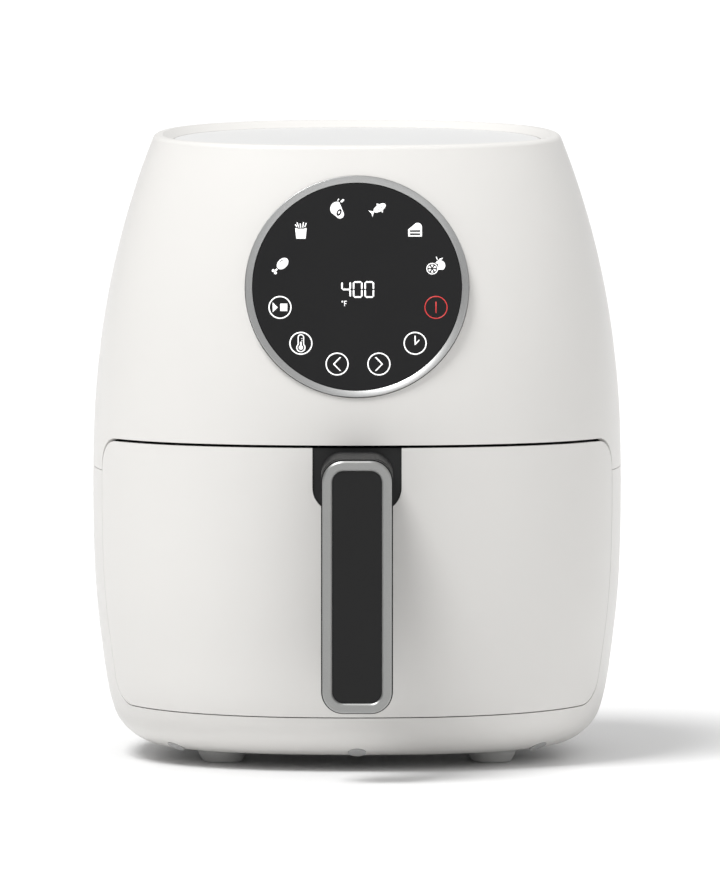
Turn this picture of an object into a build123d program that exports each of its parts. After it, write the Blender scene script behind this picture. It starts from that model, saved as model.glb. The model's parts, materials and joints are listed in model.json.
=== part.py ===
from build123d import *
from math import copysign, cos, pi, radians, sin, sqrt
import os

# A drawer air fryer: an egg-shaped housing with a tilted round touch panel, a deep drawer
# front whose side view is a rounded rectangle, and a free-hanging handle. Millimetres, +Z up,
# front at -Y, origin under the middle of the bounding box.

os.makedirs("parts", exist_ok=True)

# ---------------------------------------------------------------- driving dimensions
HEIGHT = 317.2
HALF_WIDTH = 134.6
WIDEST_HEIGHT = 142.0
FRONT_FLATTENING = 27.0
REAR_STRETCH = 1.1
REAR_PULL = 6.0
HANDLE_REACH = 47.0
TOP_DRAW_IN = 30.2
TOP_CURVE = 2.25
BOTTOM_DRAW_IN = 9.8
BOTTOM_CURVE = 2.6
SHOULDER_HEIGHT = 314.2
KEEL_HEIGHT = 27.0
KEEL_RADIUS = 20.0
BODY_BOTTOM = KEEL_HEIGHT - KEEL_RADIUS
FRONT_POWER = 2.3
REAR_POWER = 2.4
WALL = 2.8
FIT = 0.3
OUTLINE_POINTS = 24

FRONT_DEPTH = HALF_WIDTH - FRONT_FLATTENING
REAR_DEPTH = REAR_STRETCH * HALF_WIDTH - REAR_PULL
HALF_DEPTH = (FRONT_DEPTH + HANDLE_REACH + REAR_DEPTH) / 2
WIDEST_Y = HALF_DEPTH - REAR_DEPTH

HOUSING_SEAM = 149.0
DRAWER_BACK_Y = WIDEST_Y - 36.0
DRAWER_TOP = 165.9
DRAWER_BOTTOM = 29.8
DRAWER_TOP_SLOPE = 0.023
DRAWER_BOTTOM_SLOPE = 0.028
DRAWER_TOP_RADIUS = 15.5
DRAWER_BOTTOM_RADIUS = 13.0
DRAWER_TOP_GAP = 1.4
DRAWER_EDGE_GAP = 0.5
DRAWER_SKIN = 3.0

PANEL_HEIGHT = 247.7
PANEL_TILT = 12.0
PANEL_SINK = 3.2
RING_RADIUS = 56.5
RING_BAND = 3.5
KEY_CIRCLE = 41.1
KEY_COUNT = 12

HANDLE_WIDTH = 35.0
HANDLE_TOP = 163.7
HANDLE_BOTTOM = 36.3
HANDLE_CORNER = 10.7
BRACKET_WIDTH = 44.7
BRACKET_DROP = 33.5
BRACKET_CORNER = 12.0

PAN_Y = WIDEST_Y
PAN_HALF_WIDTH = 104.0
PAN_HALF_LENGTH = 95.0
PAN_POWER = 2.6
PAN_TOP = 152.0
PAN_BOTTOM = 31.0
PAN_DRAFT = 0.03
PAN_SHEET = 1.2
PAN_RADIUS = 16.0
TRAY_HEIGHT = 46.0
TRAY_SHEET = 1.6

LINER_HALF_WIDTH = 111.0
LINER_BACK_Y = PAN_Y + 101.0
LINER_FLOOR = 22.5
LINER_SHEET = 1.2
DECK_HEIGHT = 171.0
DOME_RADIUS = 82.0
DOME_TOP = 214.0
SHAFT_RADIUS = 3.0
RUNNING_FIT = 0.05


# ---------------------------------------------------------------- shared forms
def egg_outline(width, front, rear, front_power, rear_power, centre_y):
    """Closed plan outline: one power of ellipse in front of centre_y and another behind it."""
    points = []
    for step in range(OUTLINE_POINTS):
        turn = 2 * pi * step / OUTLINE_POINTS
        across, along = cos(turn), sin(turn)
        depth, power = (rear, rear_power) if along >= 0 else (front, front_power)
        x = width * copysign(abs(across) ** (2 / power), across)
        y = centre_y + depth * copysign(abs(along) ** (2 / power), along)
        points.append((x, y))
    return points


def body_half_width(height, inset):
    """Half width of the body at a height, drawn in by inset, with the rounded keel."""
    above = max(height - WIDEST_HEIGHT, 0) / (SHOULDER_HEIGHT - WIDEST_HEIGHT)
    below = max(WIDEST_HEIGHT - height, 0) / (WIDEST_HEIGHT - KEEL_HEIGHT)
    drawn_in = TOP_DRAW_IN * above**TOP_CURVE + BOTTOM_DRAW_IN * below**BOTTOM_CURVE
    keel = KEEL_RADIUS - inset
    drop = min(max(KEEL_HEIGHT - height, 0), keel)
    return HALF_WIDTH - inset - drawn_in - (keel - sqrt(keel**2 - drop**2))


def body_outline(height, inset, widen=0.0):
    """Plan outline of the body at a height; widen grows it again on every side."""
    drawn = body_half_width(height, inset)
    width = drawn + inset
    return egg_outline(
        drawn + widen,
        width - FRONT_FLATTENING - inset + widen,
        REAR_STRETCH * width - REAR_PULL - inset + widen,
        FRONT_POWER,
        REAR_POWER,
        WIDEST_Y,
    )


def lofted(levels, ruled=False):
    """Solid through closed outlines, given as pairs of height and points."""
    with BuildPart() as form:
        for height, points in levels:
            with BuildSketch(Plane.XY.offset(height)):
                with BuildLine():
                    Spline(*points, periodic=True)
                make_face()
        loft(ruled=ruled)
    return form.part


def plate(bottom, thickness, points):
    """Flat plate with a closed smooth outline."""
    with BuildPart() as sheet:
        with BuildSketch(Plane.XY.offset(bottom)):
            with BuildLine():
                Spline(*points, periodic=True)
            make_face()
        extrude(amount=thickness)
    return sheet.part


def body_block(inset, top):
    """The body's outer form as a solid, drawn in by inset, from its keel to a height."""
    keel = KEEL_RADIUS - inset
    heights = [KEEL_HEIGHT - keel * sin(radians(angle)) for angle in (90, 74, 56, 37, 18)]
    heights += [KEEL_HEIGHT, 50, 80, 110, WIDEST_HEIGHT, 175, 205, 235, 262, 288, top]
    return lofted([(height, body_outline(height, inset)) for height in heights])


def drawer_prism(top_gap, edge_gap, grow=0.0):
    """Side view of the drawer front, run right across the body."""
    back = DRAWER_BACK_Y - edge_gap
    front = -HALF_DEPTH - 20
    reach = back - front
    top = DRAWER_TOP - top_gap
    bottom = DRAWER_BOTTOM + edge_gap
    with BuildPart() as prism:
        with BuildSketch(Plane.YZ):
            with BuildLine():
                Polyline(
                    (front, bottom - DRAWER_BOTTOM_SLOPE * reach),
                    (back, bottom),
                    (back, top),
                    (front, top + DRAWER_TOP_SLOPE * reach),
                    close=True,
                )
            make_face()
            fillet(vertices().group_by(Axis.X)[-1].sort_by(Axis.Y)[0], radius=DRAWER_BOTTOM_RADIUS)
            fillet(vertices().group_by(Axis.X)[-1].sort_by(Axis.Y)[-1], radius=DRAWER_TOP_RADIUS)
            if grow:
                offset(amount=grow, kind=Kind.ARC)
        extrude(amount=HALF_WIDTH + 20, both=True)
    return prism.part


def pan_half_width(height, inset):
    """Half width of the pan at a height, drawn in by inset, with its rounded floor edge."""
    radius = PAN_RADIUS - inset
    drop = min(max(PAN_BOTTOM + PAN_RADIUS - height, 0), radius)
    rounding = radius - sqrt(radius**2 - drop**2)
    return PAN_HALF_WIDTH - PAN_DRAFT * (PAN_TOP - height) - inset - rounding


def wall_outline(height, inset):
    """Plan outline of the pan's drafted wall at a height, before its floor edge is rounded."""
    taken = PAN_DRAFT * (PAN_TOP - height) + inset
    length = PAN_HALF_LENGTH - taken
    return egg_outline(PAN_HALF_WIDTH - taken, length, length, PAN_POWER, PAN_POWER, PAN_Y)


def pan_outline(height, inset):
    """Plan outline of the pan at a height."""
    width = pan_half_width(height, inset)
    length = width - PAN_HALF_WIDTH + PAN_HALF_LENGTH
    return egg_outline(width, length, length, PAN_POWER, PAN_POWER, PAN_Y)


def pan_block(inset, top):
    """The pan's form as a solid, drawn in by inset: drafted walls and a rounded floor edge."""
    floor = PAN_BOTTOM + inset
    with BuildPart() as form:
        add(lofted([(floor, wall_outline(floor, inset)), (top, wall_outline(top, inset))], ruled=True))
        fillet(form.edges().group_by(Axis.Z)[0], radius=PAN_RADIUS - inset)
    return form.part


def front_y(height):
    """Y of the body's front surface on the centre line."""
    return WIDEST_Y - (body_half_width(height, 0) - FRONT_FLATTENING)


OUTER = body_block(0, HEIGHT)
INNER = body_block(WALL, HEIGHT - 9)
FITTED = body_block(WALL + FIT, HEIGHT - 9.5)
DRAWER_INNER = body_block(DRAWER_SKIN, HEIGHT - 9)
BAY = drawer_prism(0, 0)
DRAWER = drawer_prism(DRAWER_TOP_GAP, DRAWER_EDGE_GAP)
PAN_SPACE = pan_block(-0.5, PAN_TOP + 20)

PANEL_ORIGIN = (
    0,
    front_y(PANEL_HEIGHT) + PANEL_SINK * cos(radians(PANEL_TILT)),
    PANEL_HEIGHT - PANEL_SINK * sin(radians(PANEL_TILT)),
)
PANEL = Plane(
    origin=PANEL_ORIGIN,
    x_dir=(1, 0, 0),
    z_dir=(0, -cos(radians(PANEL_TILT)), sin(radians(PANEL_TILT))),
)

# Rear vent: a rounded window in the back of the upper housing.
VENT_HALF_WIDTH = 44.0
VENT_LOW = 180.0
VENT_HIGH = 226.0
VENT_MIDDLE = (VENT_LOW + VENT_HIGH) / 2


def vent_window(grow):
    """Prism through the back wall, grown on every side."""
    with BuildPart() as window:
        with BuildSketch(Plane.XZ.offset(-WIDEST_Y - 90)):
            with Locations((0, VENT_MIDDLE)):
                RectangleRounded(
                    2 * VENT_HALF_WIDTH + 2 * grow, VENT_HIGH - VENT_LOW + 2 * grow, 8 + grow
                )
        extrude(amount=-80)
    return window.part


# Lid seat in the crown of the upper housing.
RIM = 4.1
SEAT_HEIGHT = 313.8
LID_SLOPE = 4.6
LID_THICKNESS = 2.4
LEDGE = 5.0
CROWN = body_half_width(HEIGHT, 0)


def crown_outline(inset):
    """Outline of the crown, drawn in."""
    return egg_outline(
        CROWN - inset,
        CROWN - FRONT_FLATTENING - inset,
        REAR_STRETCH * CROWN - REAR_PULL - inset,
        FRONT_POWER,
        REAR_POWER,
        WIDEST_Y,
    )


RECESS = lofted([(SEAT_HEIGHT, crown_outline(RIM + LID_SLOPE)), (HEIGHT + 0.01, crown_outline(RIM))])
LID_WELL = plate(SEAT_HEIGHT - LID_THICKNESS - FIT, LID_THICKNESS + 1, crown_outline(RIM + LID_SLOPE))
CROWN_HOLE = plate(HEIGHT - 20, 18, crown_outline(RIM + LID_SLOPE + LEDGE))

# ---------------------------------------------------------------- housing shells
with BuildPart() as upper_housing:
    add(OUTER)
    fillet(edges().group_by(Axis.Z)[-1], radius=3.0)
    add(INNER, mode=Mode.SUBTRACT)
    split(bisect_by=Plane.XY.offset(HOUSING_SEAM), keep=Keep.TOP)
    add(BAY, mode=Mode.SUBTRACT)
    add(RECESS, mode=Mode.SUBTRACT)
    add(LID_WELL, mode=Mode.SUBTRACT)
    add(CROWN_HOLE, mode=Mode.SUBTRACT)
    with BuildSketch(PANEL.offset(-30)):
        Circle(RING_RADIUS + FIT)
    extrude(amount=45, mode=Mode.SUBTRACT)
    add(vent_window(FIT), mode=Mode.SUBTRACT)
upper_housing.part.label = "upper_housing"
export_step(upper_housing.part, "parts/upper_housing.step")

with BuildPart() as top_cover:
    add(plate(SEAT_HEIGHT - LID_THICKNESS, LID_THICKNESS, crown_outline(RIM + LID_SLOPE + FIT)))
    fillet(edges().group_by(Axis.Z)[-1], radius=0.6)
top_cover.part.label = "top_cover"
export_step(top_cover.part, "parts/top_cover.step")

# Keel plugs and cord gland, let into the lower housing.
PLUG_RADIUS = 4.5
PLUG_PLACES = (-92.0, 0.0, 92.0)
PLUG_ANGLE = 62.0
PLUG_HEIGHT = KEEL_HEIGHT - KEEL_RADIUS * sin(radians(PLUG_ANGLE))


def plug_plane(x):
    """Plane on the rounded keel, square to its surface, at a distance from the middle."""
    width = body_half_width(PLUG_HEIGHT, 0)
    depth = width - FRONT_FLATTENING
    share = (abs(x) / width) ** FRONT_POWER
    y = WIDEST_Y - depth * (1 - share) ** (1 / FRONT_POWER)
    slope_x = copysign((abs(x) / width) ** (FRONT_POWER - 1) / width, x)
    slope_y = -((1 - share) ** ((FRONT_POWER - 1) / FRONT_POWER)) / depth
    level = sqrt(slope_x**2 + slope_y**2)
    out = Vector(slope_x / level, slope_y / level, 0) * cos(radians(PLUG_ANGLE))
    return Plane((x, y, PLUG_HEIGHT), z_dir=out + Vector(0, 0, -sin(radians(PLUG_ANGLE))))


GLAND_RADIUS = 9.0
GLAND_LENGTH = 15.0
CORD_RADIUS = 3.8
GLAND_PLANE = Plane((56, WIDEST_Y + 119, 42), x_dir=(1, 0, 0), z_dir=(0, -1, 0))

with BuildPart() as lower_housing:
    add(OUTER)
    add(INNER, mode=Mode.SUBTRACT)
    split(bisect_by=Plane.XY.offset(HOUSING_SEAM - 0.3), keep=Keep.BOTTOM)
    add(BAY, mode=Mode.SUBTRACT)
    with BuildSketch(Plane.XY.offset(BODY_BOTTOM - 1)):
        with BuildLine():
            Spline(*body_outline(BODY_BOTTOM, 0, -8.0), periodic=True)
        make_face()
    extrude(amount=8, mode=Mode.SUBTRACT)
    with BuildSketch(GLAND_PLANE):
        Circle(GLAND_RADIUS + 0.1)
    extrude(amount=-30, mode=Mode.SUBTRACT)
    for x in PLUG_PLACES:
        with BuildSketch(plug_plane(x).offset(2)):
            Circle(PLUG_RADIUS + 0.1)
        extrude(amount=-6, mode=Mode.SUBTRACT)
lower_housing.part.label = "lower_housing"
export_step(lower_housing.part, "parts/lower_housing.step")

# Rear vent: a piece of the same curved wall, cut into level slats.
SLAT_PITCH = 6.4
SLAT_GAP = 3.0

with BuildPart() as rear_vent:
    add(OUTER)
    add(INNER, mode=Mode.SUBTRACT)
    add(vent_window(0), mode=Mode.INTERSECT)
    with BuildSketch(Plane.XZ.offset(-WIDEST_Y - 90)):
        with GridLocations(2 * VENT_HALF_WIDTH / 2, SLAT_PITCH, 2, 6):
            with Locations((0, VENT_MIDDLE)):
                SlotOverall(VENT_HALF_WIDTH - 8, SLAT_GAP)
    extrude(amount=-80, mode=Mode.SUBTRACT)
rear_vent.part.label = "rear_vent"
export_step(rear_vent.part, "parts/rear_vent.step")

with BuildPart() as cord_gland:
    with BuildSketch(GLAND_PLANE):
        Circle(GLAND_RADIUS)
        Circle(CORD_RADIUS, mode=Mode.SUBTRACT)
    extrude(amount=-GLAND_LENGTH)
    with BuildSketch(GLAND_PLANE):
        Circle(GLAND_RADIUS + 1.5)
        Circle(CORD_RADIUS, mode=Mode.SUBTRACT)
    extrude(amount=2.5)
cord_gland.part.label = "cord_gland"
export_step(cord_gland.part, "parts/cord_gland.step")

# Base: a plate let into the keel opening, resting on its edge by a flange, with intake slots.
BASE_FLANGE = 1.8
BASE_SCREW_CIRCLE = 66.0

with BuildPart() as base_plate:
    add(plate(BODY_BOTTOM, WALL + 0.2, body_outline(BODY_BOTTOM, 0, -8.0 - FIT)))
    add(plate(BODY_BOTTOM + WALL + 0.2, BASE_FLANGE, body_outline(BODY_BOTTOM, 0, -4.5)))
    with BuildSketch(Plane.XY):
        with Locations((0, WIDEST_Y + 20)):
            with GridLocations(9, 46, 9, 2):
                SlotOverall(38, 3.4, rotation=90)
    extrude(amount=20, mode=Mode.SUBTRACT)
    with BuildSketch(Plane.XY):
        with Locations((0, WIDEST_Y + 10)):
            with PolarLocations(BASE_SCREW_CIRCLE, 6, start_angle=30):
                Circle(3.3)
    extrude(amount=20, mode=Mode.SUBTRACT)
base_plate.part.label = "base_plate"
export_step(base_plate.part, "parts/base_plate.step")

# ---------------------------------------------------------------- feet and keel plugs
FOOT_X = 68.5
FOOT_FRONT_Y = WIDEST_Y - 36.0
FOOT_REAR_Y = WIDEST_Y + 72.0
FOOT_TOP_RADIUS = 12.2
FOOT_TREAD_RADIUS = 9.7


def foot(x, y):
    """Tapered foot with a rounded tread edge."""
    with BuildPart() as pad:
        with BuildSketch(Plane((x, y, 0), x_dir=(1, 0, 0), z_dir=(0, -1, 0))):
            with BuildLine():
                Polyline(
                    (0, 0),
                    (FOOT_TREAD_RADIUS, 0),
                    (FOOT_TOP_RADIUS, 4.5),
                    (FOOT_TOP_RADIUS, BODY_BOTTOM),
                    (0, BODY_BOTTOM),
                    close=True,
                )
            make_face()
        revolve(axis=Axis((x, y, 0), (0, 0, 1)))
        fillet(edges().group_by(Axis.Z)[0], radius=1.6)
    return pad.part


for side, x in (("left", -FOOT_X), ("right", FOOT_X)):
    for end, y in (("front", FOOT_FRONT_Y), ("rear", FOOT_REAR_Y)):
        pad = foot(x, y)
        pad.label = f"foot_{end}_{side}"
        export_step(pad, f"parts/foot_{end}_{side}.step")

with BuildPart() as keel_plugs:
    for x in PLUG_PLACES:
        with BuildSketch(plug_plane(x).offset(0.4)):
            Circle(PLUG_RADIUS)
        extrude(amount=-3)
keel_plugs.part.label = "keel_plugs"
export_step(keel_plugs.part, "parts/keel_plugs.step")

# ---------------------------------------------------------------- touch panel
LENS_RADIUS = RING_RADIUS - RING_BAND - 0.3
LENS_THICKNESS = 2.0
LENS_DROP = 0.3

with BuildPart() as panel_bezel:
    with BuildSketch(PANEL):
        Circle(RING_RADIUS)
        Circle(RING_RADIUS - RING_BAND, mode=Mode.SUBTRACT)
    extrude(amount=-7)
    face_rims = faces().sort_by(Axis((0, 0, 0), PANEL.z_dir))[-1].edges()
    chamfer(face_rims.sort_by(SortBy.RADIUS)[-1], length=0.9)
panel_bezel.part.label = "panel_bezel"
export_step(panel_bezel.part, "parts/panel_bezel.step")

with BuildPart() as panel_lens:
    with BuildSketch(PANEL.offset(-LENS_DROP)):
        Circle(LENS_RADIUS)
    extrude(amount=-LENS_THICKNESS)
panel_lens.part.label = "panel_lens"
export_step(panel_lens.part, "parts/panel_lens.step")

CARRIER_DEPTH = 14.0
CARRIER_WALL = 1.8

with BuildPart() as panel_carrier:
    with BuildSketch(PANEL.offset(-LENS_DROP - LENS_THICKNESS)):
        Circle(LENS_RADIUS)
    extrude(amount=-CARRIER_DEPTH)
    with BuildSketch(PANEL.offset(-LENS_DROP - LENS_THICKNESS)):
        Circle(LENS_RADIUS - CARRIER_WALL)
    extrude(amount=CARRIER_WALL - CARRIER_DEPTH, mode=Mode.SUBTRACT)
    with BuildSketch(PANEL.offset(-LENS_DROP - LENS_THICKNESS - 1)):
        with PolarLocations(34, 3, start_angle=90):
            Circle(1.4)
    extrude(amount=-CARRIER_DEPTH, mode=Mode.SUBTRACT)
panel_carrier.part.label = "panel_carrier"
export_step(panel_carrier.part, "parts/panel_carrier.step")

BOARD_DROP = 9.0

with BuildPart() as control_board:
    with BuildSketch(PANEL.offset(-BOARD_DROP)):
        Circle(LENS_RADIUS - CARRIER_WALL - 0.5)
        with PolarLocations(34, 3, start_angle=90):
            Circle(1.6, mode=Mode.SUBTRACT)
    extrude(amount=-1.6)
control_board.part.label = "control_board"
export_step(control_board.part, "parts/control_board.step")

with BuildPart() as display_module:
    with BuildSketch(PANEL.offset(-BOARD_DROP)):
        with Locations((0, -1.3)):
            RectangleRounded(30, 14, 1)
    extrude(amount=BOARD_DROP - LENS_DROP - LENS_THICKNESS - 0.4)
display_module.part.label = "display_module"
export_step(display_module.part, "parts/display_module.step")

with BuildPart() as touch_springs:
    with BuildSketch(PANEL.offset(-BOARD_DROP)):
        with PolarLocations(KEY_CIRCLE, KEY_COUNT, start_angle=15):
            Circle(4.5)
            Circle(3.7, mode=Mode.SUBTRACT)
    extrude(amount=BOARD_DROP - LENS_DROP - LENS_THICKNESS)
touch_springs.part.label = "touch_springs"
export_step(touch_springs.part, "parts/touch_springs.step")

with BuildPart() as panel_screws:
    with BuildSketch(PANEL.offset(-BOARD_DROP)):
        with PolarLocations(34, 3, start_angle=90):
            Circle(2.8)
    extrude(amount=1.8)
    with BuildSketch(PANEL.offset(-BOARD_DROP)):
        with PolarLocations(34, 3, start_angle=90):
            Circle(1.4)
    extrude(amount=-6)
panel_screws.part.label = "panel_screws"
export_step(panel_screws.part, "parts/panel_screws.step")

# ---------------------------------------------------------------- drawer bay and cooking chamber
BAY_SHEET = 2.2
MOUTH_GAP = 3.0

with BuildPart() as bay_frame:
    add(drawer_prism(0, 0, BAY_SHEET))
    add(BAY, mode=Mode.SUBTRACT)
    add(FITTED, mode=Mode.INTERSECT)
    with BuildSketch(Plane.XZ.offset(-DRAWER_BACK_Y - 20)):
        with BuildLine():
            Polyline(
                (-LINER_HALF_WIDTH, PAN_BOTTOM - 0.8),
                (LINER_HALF_WIDTH, PAN_BOTTOM - 0.8),
                (LINER_HALF_WIDTH, PAN_TOP + 6),
                (-LINER_HALF_WIDTH, PAN_TOP + 6),
                close=True,
            )
        make_face()
    extrude(amount=44, mode=Mode.SUBTRACT)
    with BuildSketch(Plane.XY.offset(PAN_TOP + 4)):
        with Locations((0, PAN_Y)):
            Circle(DOME_RADIUS + MOUTH_GAP)
    extrude(amount=30, mode=Mode.SUBTRACT)
bay_frame.part.label = "bay_frame"
export_step(bay_frame.part, "parts/bay_frame.step")

LINER_FRONT_Y = DRAWER_BACK_Y + BAY_SHEET + FIT
LINER_LENGTH = LINER_BACK_Y - LINER_FRONT_Y
LINER_TOP = DECK_HEIGHT - 0.2
SWITCH_HEIGHT = 138.0

with BuildPart() as pan_liner:
    with BuildSketch(Plane.XY.offset(LINER_FLOOR)):
        with BuildLine():
            Polyline(
                (-LINER_HALF_WIDTH, LINER_FRONT_Y),
                (LINER_HALF_WIDTH, LINER_FRONT_Y),
                (LINER_HALF_WIDTH, LINER_BACK_Y),
                (-LINER_HALF_WIDTH, LINER_BACK_Y),
                close=True,
            )
        make_face()
        fillet(vertices().group_by(Axis.Y)[-1], radius=54)
    extrude(amount=LINER_TOP - LINER_FLOOR)
    fillet(faces().sort_by(Axis.Z)[0].edges().group_by(Axis.Y)[1:], radius=6)
    openings = [faces().sort_by(Axis.Z)[-1], faces().sort_by(Axis.Y)[0]]
    offset(amount=-LINER_SHEET, openings=openings)
    with BuildSketch(Plane.XZ.offset(-LINER_BACK_Y + 10)):
        with Locations((0, SWITCH_HEIGHT)):
            Circle(5)
    extrude(amount=-20, mode=Mode.SUBTRACT)
pan_liner.part.label = "pan_liner"
export_step(pan_liner.part, "parts/pan_liner.step")

with BuildPart() as pan_runners:
    with BuildSketch(Plane.XY.offset(LINER_FLOOR + LINER_SHEET)):
        with GridLocations(120, 0, 2, 1):
            with Locations((0, PAN_Y + 26)):
                SlotOverall(110, 12, rotation=90)
    extrude(amount=PAN_BOTTOM - FIT - LINER_FLOOR - LINER_SHEET)
pan_runners.part.label = "pan_runners"
export_step(pan_runners.part, "parts/pan_runners.step")

# Heating element: one tube wound in two loops and folded back on itself.
HEATER_HEIGHT = 184.0
HEATER_TUBE = 3.2
LOOP_RADII = (70.0, 52.0)
LOOP_GAP = 14.0


def at_angle(radius, angle):
    """Point on the heater's level at a radius and an angle about the fan's axis."""
    turn = radians(angle)
    return Vector(radius * cos(turn), PAN_Y + radius * sin(turn), HEATER_HEIGHT)


HEATER_ENDS = [
    (at_angle(LOOP_RADII[0], 90 + LOOP_GAP).X, at_angle(LOOP_RADII[0], 90 + LOOP_GAP).Y),
    (at_angle(LOOP_RADII[1], 100 + LOOP_GAP).X, at_angle(LOOP_RADII[1], 100 + LOOP_GAP).Y),
]

DECK_SHEET = 1.0
DOME_SHEET = 0.8
DUCT_HALF_WIDTH = 34.0
DUCT_LOW = 186.0
DUCT_HIGH = 206.0
DUCT_SHEET = 1.2
DOME_CORNER = 12.0



def dome_form(radius, top, corner):
    """Round dome standing on the deck, with a rolled shoulder."""
    with BuildPart() as form:
        with BuildSketch(Plane.XY.offset(DECK_HEIGHT - 1)):
            with Locations((0, PAN_Y)):
                Circle(radius)
        extrude(amount=top - DECK_HEIGHT + 1)
        fillet(edges().group_by(Axis.Z)[-1], radius=corner)
    return form.part


with BuildPart() as heat_reflector:
    with BuildSketch(Plane.XY.offset(DECK_HEIGHT)):
        with Locations((0, PAN_Y + 6)):
            RectangleRounded(2 * LINER_HALF_WIDTH + 10, 232, 40)
    extrude(amount=DECK_SHEET)
    add(dome_form(DOME_RADIUS + DOME_SHEET, DOME_TOP, DOME_CORNER))
    add(dome_form(DOME_RADIUS, DOME_TOP - DOME_SHEET, DOME_CORNER - DOME_SHEET), mode=Mode.SUBTRACT)
    with BuildSketch(Plane.XY.offset(DOME_TOP - 5)):
        with Locations((0, PAN_Y)):
            Circle(SHAFT_RADIUS + 3)
        with Locations(*HEATER_ENDS):
            Circle(HEATER_TUBE + 0.5)
    extrude(amount=10, mode=Mode.SUBTRACT)
    with BuildSketch(Plane.XY.offset(DECK_HEIGHT - 5)):
        with Locations((0, PAN_Y)):
            Circle(DOME_RADIUS)
    extrude(amount=6, mode=Mode.SUBTRACT)
    with BuildSketch(Plane.XZ.offset(-PAN_Y - 50)):
        with Locations((0, (DUCT_LOW + DUCT_HIGH) / 2)):
            Rectangle(2 * DUCT_HALF_WIDTH - 6, DUCT_HIGH - DUCT_LOW - 6)
    extrude(amount=-60, mode=Mode.SUBTRACT)
    add(FITTED, mode=Mode.INTERSECT)
heat_reflector.part.label = "heat_reflector"
export_step(heat_reflector.part, "parts/heat_reflector.step")

with BuildPart() as heating_element:
    outer_loop, inner_loop = LOOP_RADII
    with BuildLine() as heater_path:
        CenterArc((0, PAN_Y, HEATER_HEIGHT), outer_loop, 90 + LOOP_GAP, 360 - 2 * LOOP_GAP)
        ThreePointArc(
            at_angle(outer_loop, 90 - LOOP_GAP),
            at_angle((outer_loop + inner_loop) / 2, 90 - LOOP_GAP)
            + Vector(-sin(radians(90 - LOOP_GAP)), cos(radians(90 - LOOP_GAP)), 0) * 9,
            at_angle(inner_loop, 90 - LOOP_GAP),
        )
        CenterArc((0, PAN_Y, HEATER_HEIGHT), inner_loop, 90 - LOOP_GAP, 2 * LOOP_GAP - 350)
    with BuildSketch(heater_path.line ^ 0):
        Circle(HEATER_TUBE)
    sweep(path=heater_path.line)
    for end in (heater_path.line @ 0, heater_path.line @ 1):
        with Locations(end):
            Sphere(HEATER_TUBE)
        with BuildSketch(Plane(end)):
            Circle(HEATER_TUBE)
        extrude(amount=DOME_TOP + 8 - HEATER_HEIGHT)
heating_element.part.label = "heating_element"
export_step(heating_element.part, "parts/heating_element.step")

GUARD_RINGS = (22.0, 41.0, 60.0, 79.0)
GUARD_SPOKES = 8
GUARD_WIRE = 1.6
GUARD_HEIGHT = DECK_HEIGHT + 2.6

with BuildPart() as heater_guard:
    with BuildSketch(Plane.XY.offset(GUARD_HEIGHT)):
        with Locations((0, PAN_Y)):
            for radius in GUARD_RINGS:
                Circle(radius)
                Circle(radius - GUARD_WIRE, mode=Mode.SUBTRACT)
                if radius > GUARD_RINGS[0]:
                    with PolarLocations((radius + inner) / 2, GUARD_SPOKES):
                        Rectangle(radius - inner, GUARD_WIRE)
                inner = radius - GUARD_WIRE / 2
    extrude(amount=GUARD_WIRE)
heater_guard.part.label = "heater_guard"
export_step(heater_guard.part, "parts/heater_guard.step")

with BuildPart() as heater_clips:
    with BuildSketch(Plane.XY.offset(GUARD_HEIGHT + GUARD_WIRE)):
        with Locations((0, PAN_Y)):
            with PolarLocations(LOOP_RADII[0], 3, start_angle=30):
                Rectangle(18, 5)
    extrude(amount=HEATER_HEIGHT - HEATER_TUBE - GUARD_HEIGHT - GUARD_WIRE)
heater_clips.part.label = "heater_clips"
export_step(heater_clips.part, "parts/heater_clips.step")

# ---------------------------------------------------------------- fan, motor and sensors
FAN_RADIUS = 56.0
FAN_HEIGHT = 193.0
FAN_BLADE = 13.0
COOLER_RADIUS = 58.0
COOLER_HEIGHT = 220.0
MOTOR_HEIGHT = 240.0
MOTOR_LENGTH = 24.0
MOTOR_RADIUS = 31.0
SHAFT_BOTTOM = 184.0


def impeller(disc_height, radius, hub_radius, blades, blade_height, sweep_angle, hub_length):
    """Fan wheel: a disc with straight leaning blades below it and a bored hub."""
    with BuildPart() as wheel:
        with BuildSketch(Plane.XY.offset(disc_height)):
            with Locations((0, PAN_Y)):
                Circle(radius * 0.8)
        extrude(amount=1.2)
        with BuildSketch(Plane.XY.offset(disc_height - blade_height)):
            with Locations((0, PAN_Y)):
                with PolarLocations((radius + hub_radius) / 2 + 3, blades):
                    Rectangle(radius - hub_radius - 6, 1.4, rotation=sweep_angle)
        extrude(amount=blade_height)
        with BuildSketch(Plane.XY.offset(disc_height + 1.2 - hub_length)):
            with Locations((0, PAN_Y)):
                Circle(hub_radius)
        extrude(amount=hub_length)
        with Locations((0, PAN_Y, disc_height)):
            Hole(radius=SHAFT_RADIUS)
    return wheel.part


with BuildPart() as convection_fan:
    add(impeller(FAN_HEIGHT + FAN_BLADE, FAN_RADIUS, 9, 10, FAN_BLADE, 18, FAN_BLADE + 1.2))
convection_fan.part.label = "convection_fan"
export_step(convection_fan.part, "parts/convection_fan.step")

with BuildPart() as cooling_fan:
    add(impeller(COOLER_HEIGHT + 11, COOLER_RADIUS, 8, 12, 11, -20, 12.2))
cooling_fan.part.label = "cooling_fan"
export_step(cooling_fan.part, "parts/cooling_fan.step")

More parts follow.
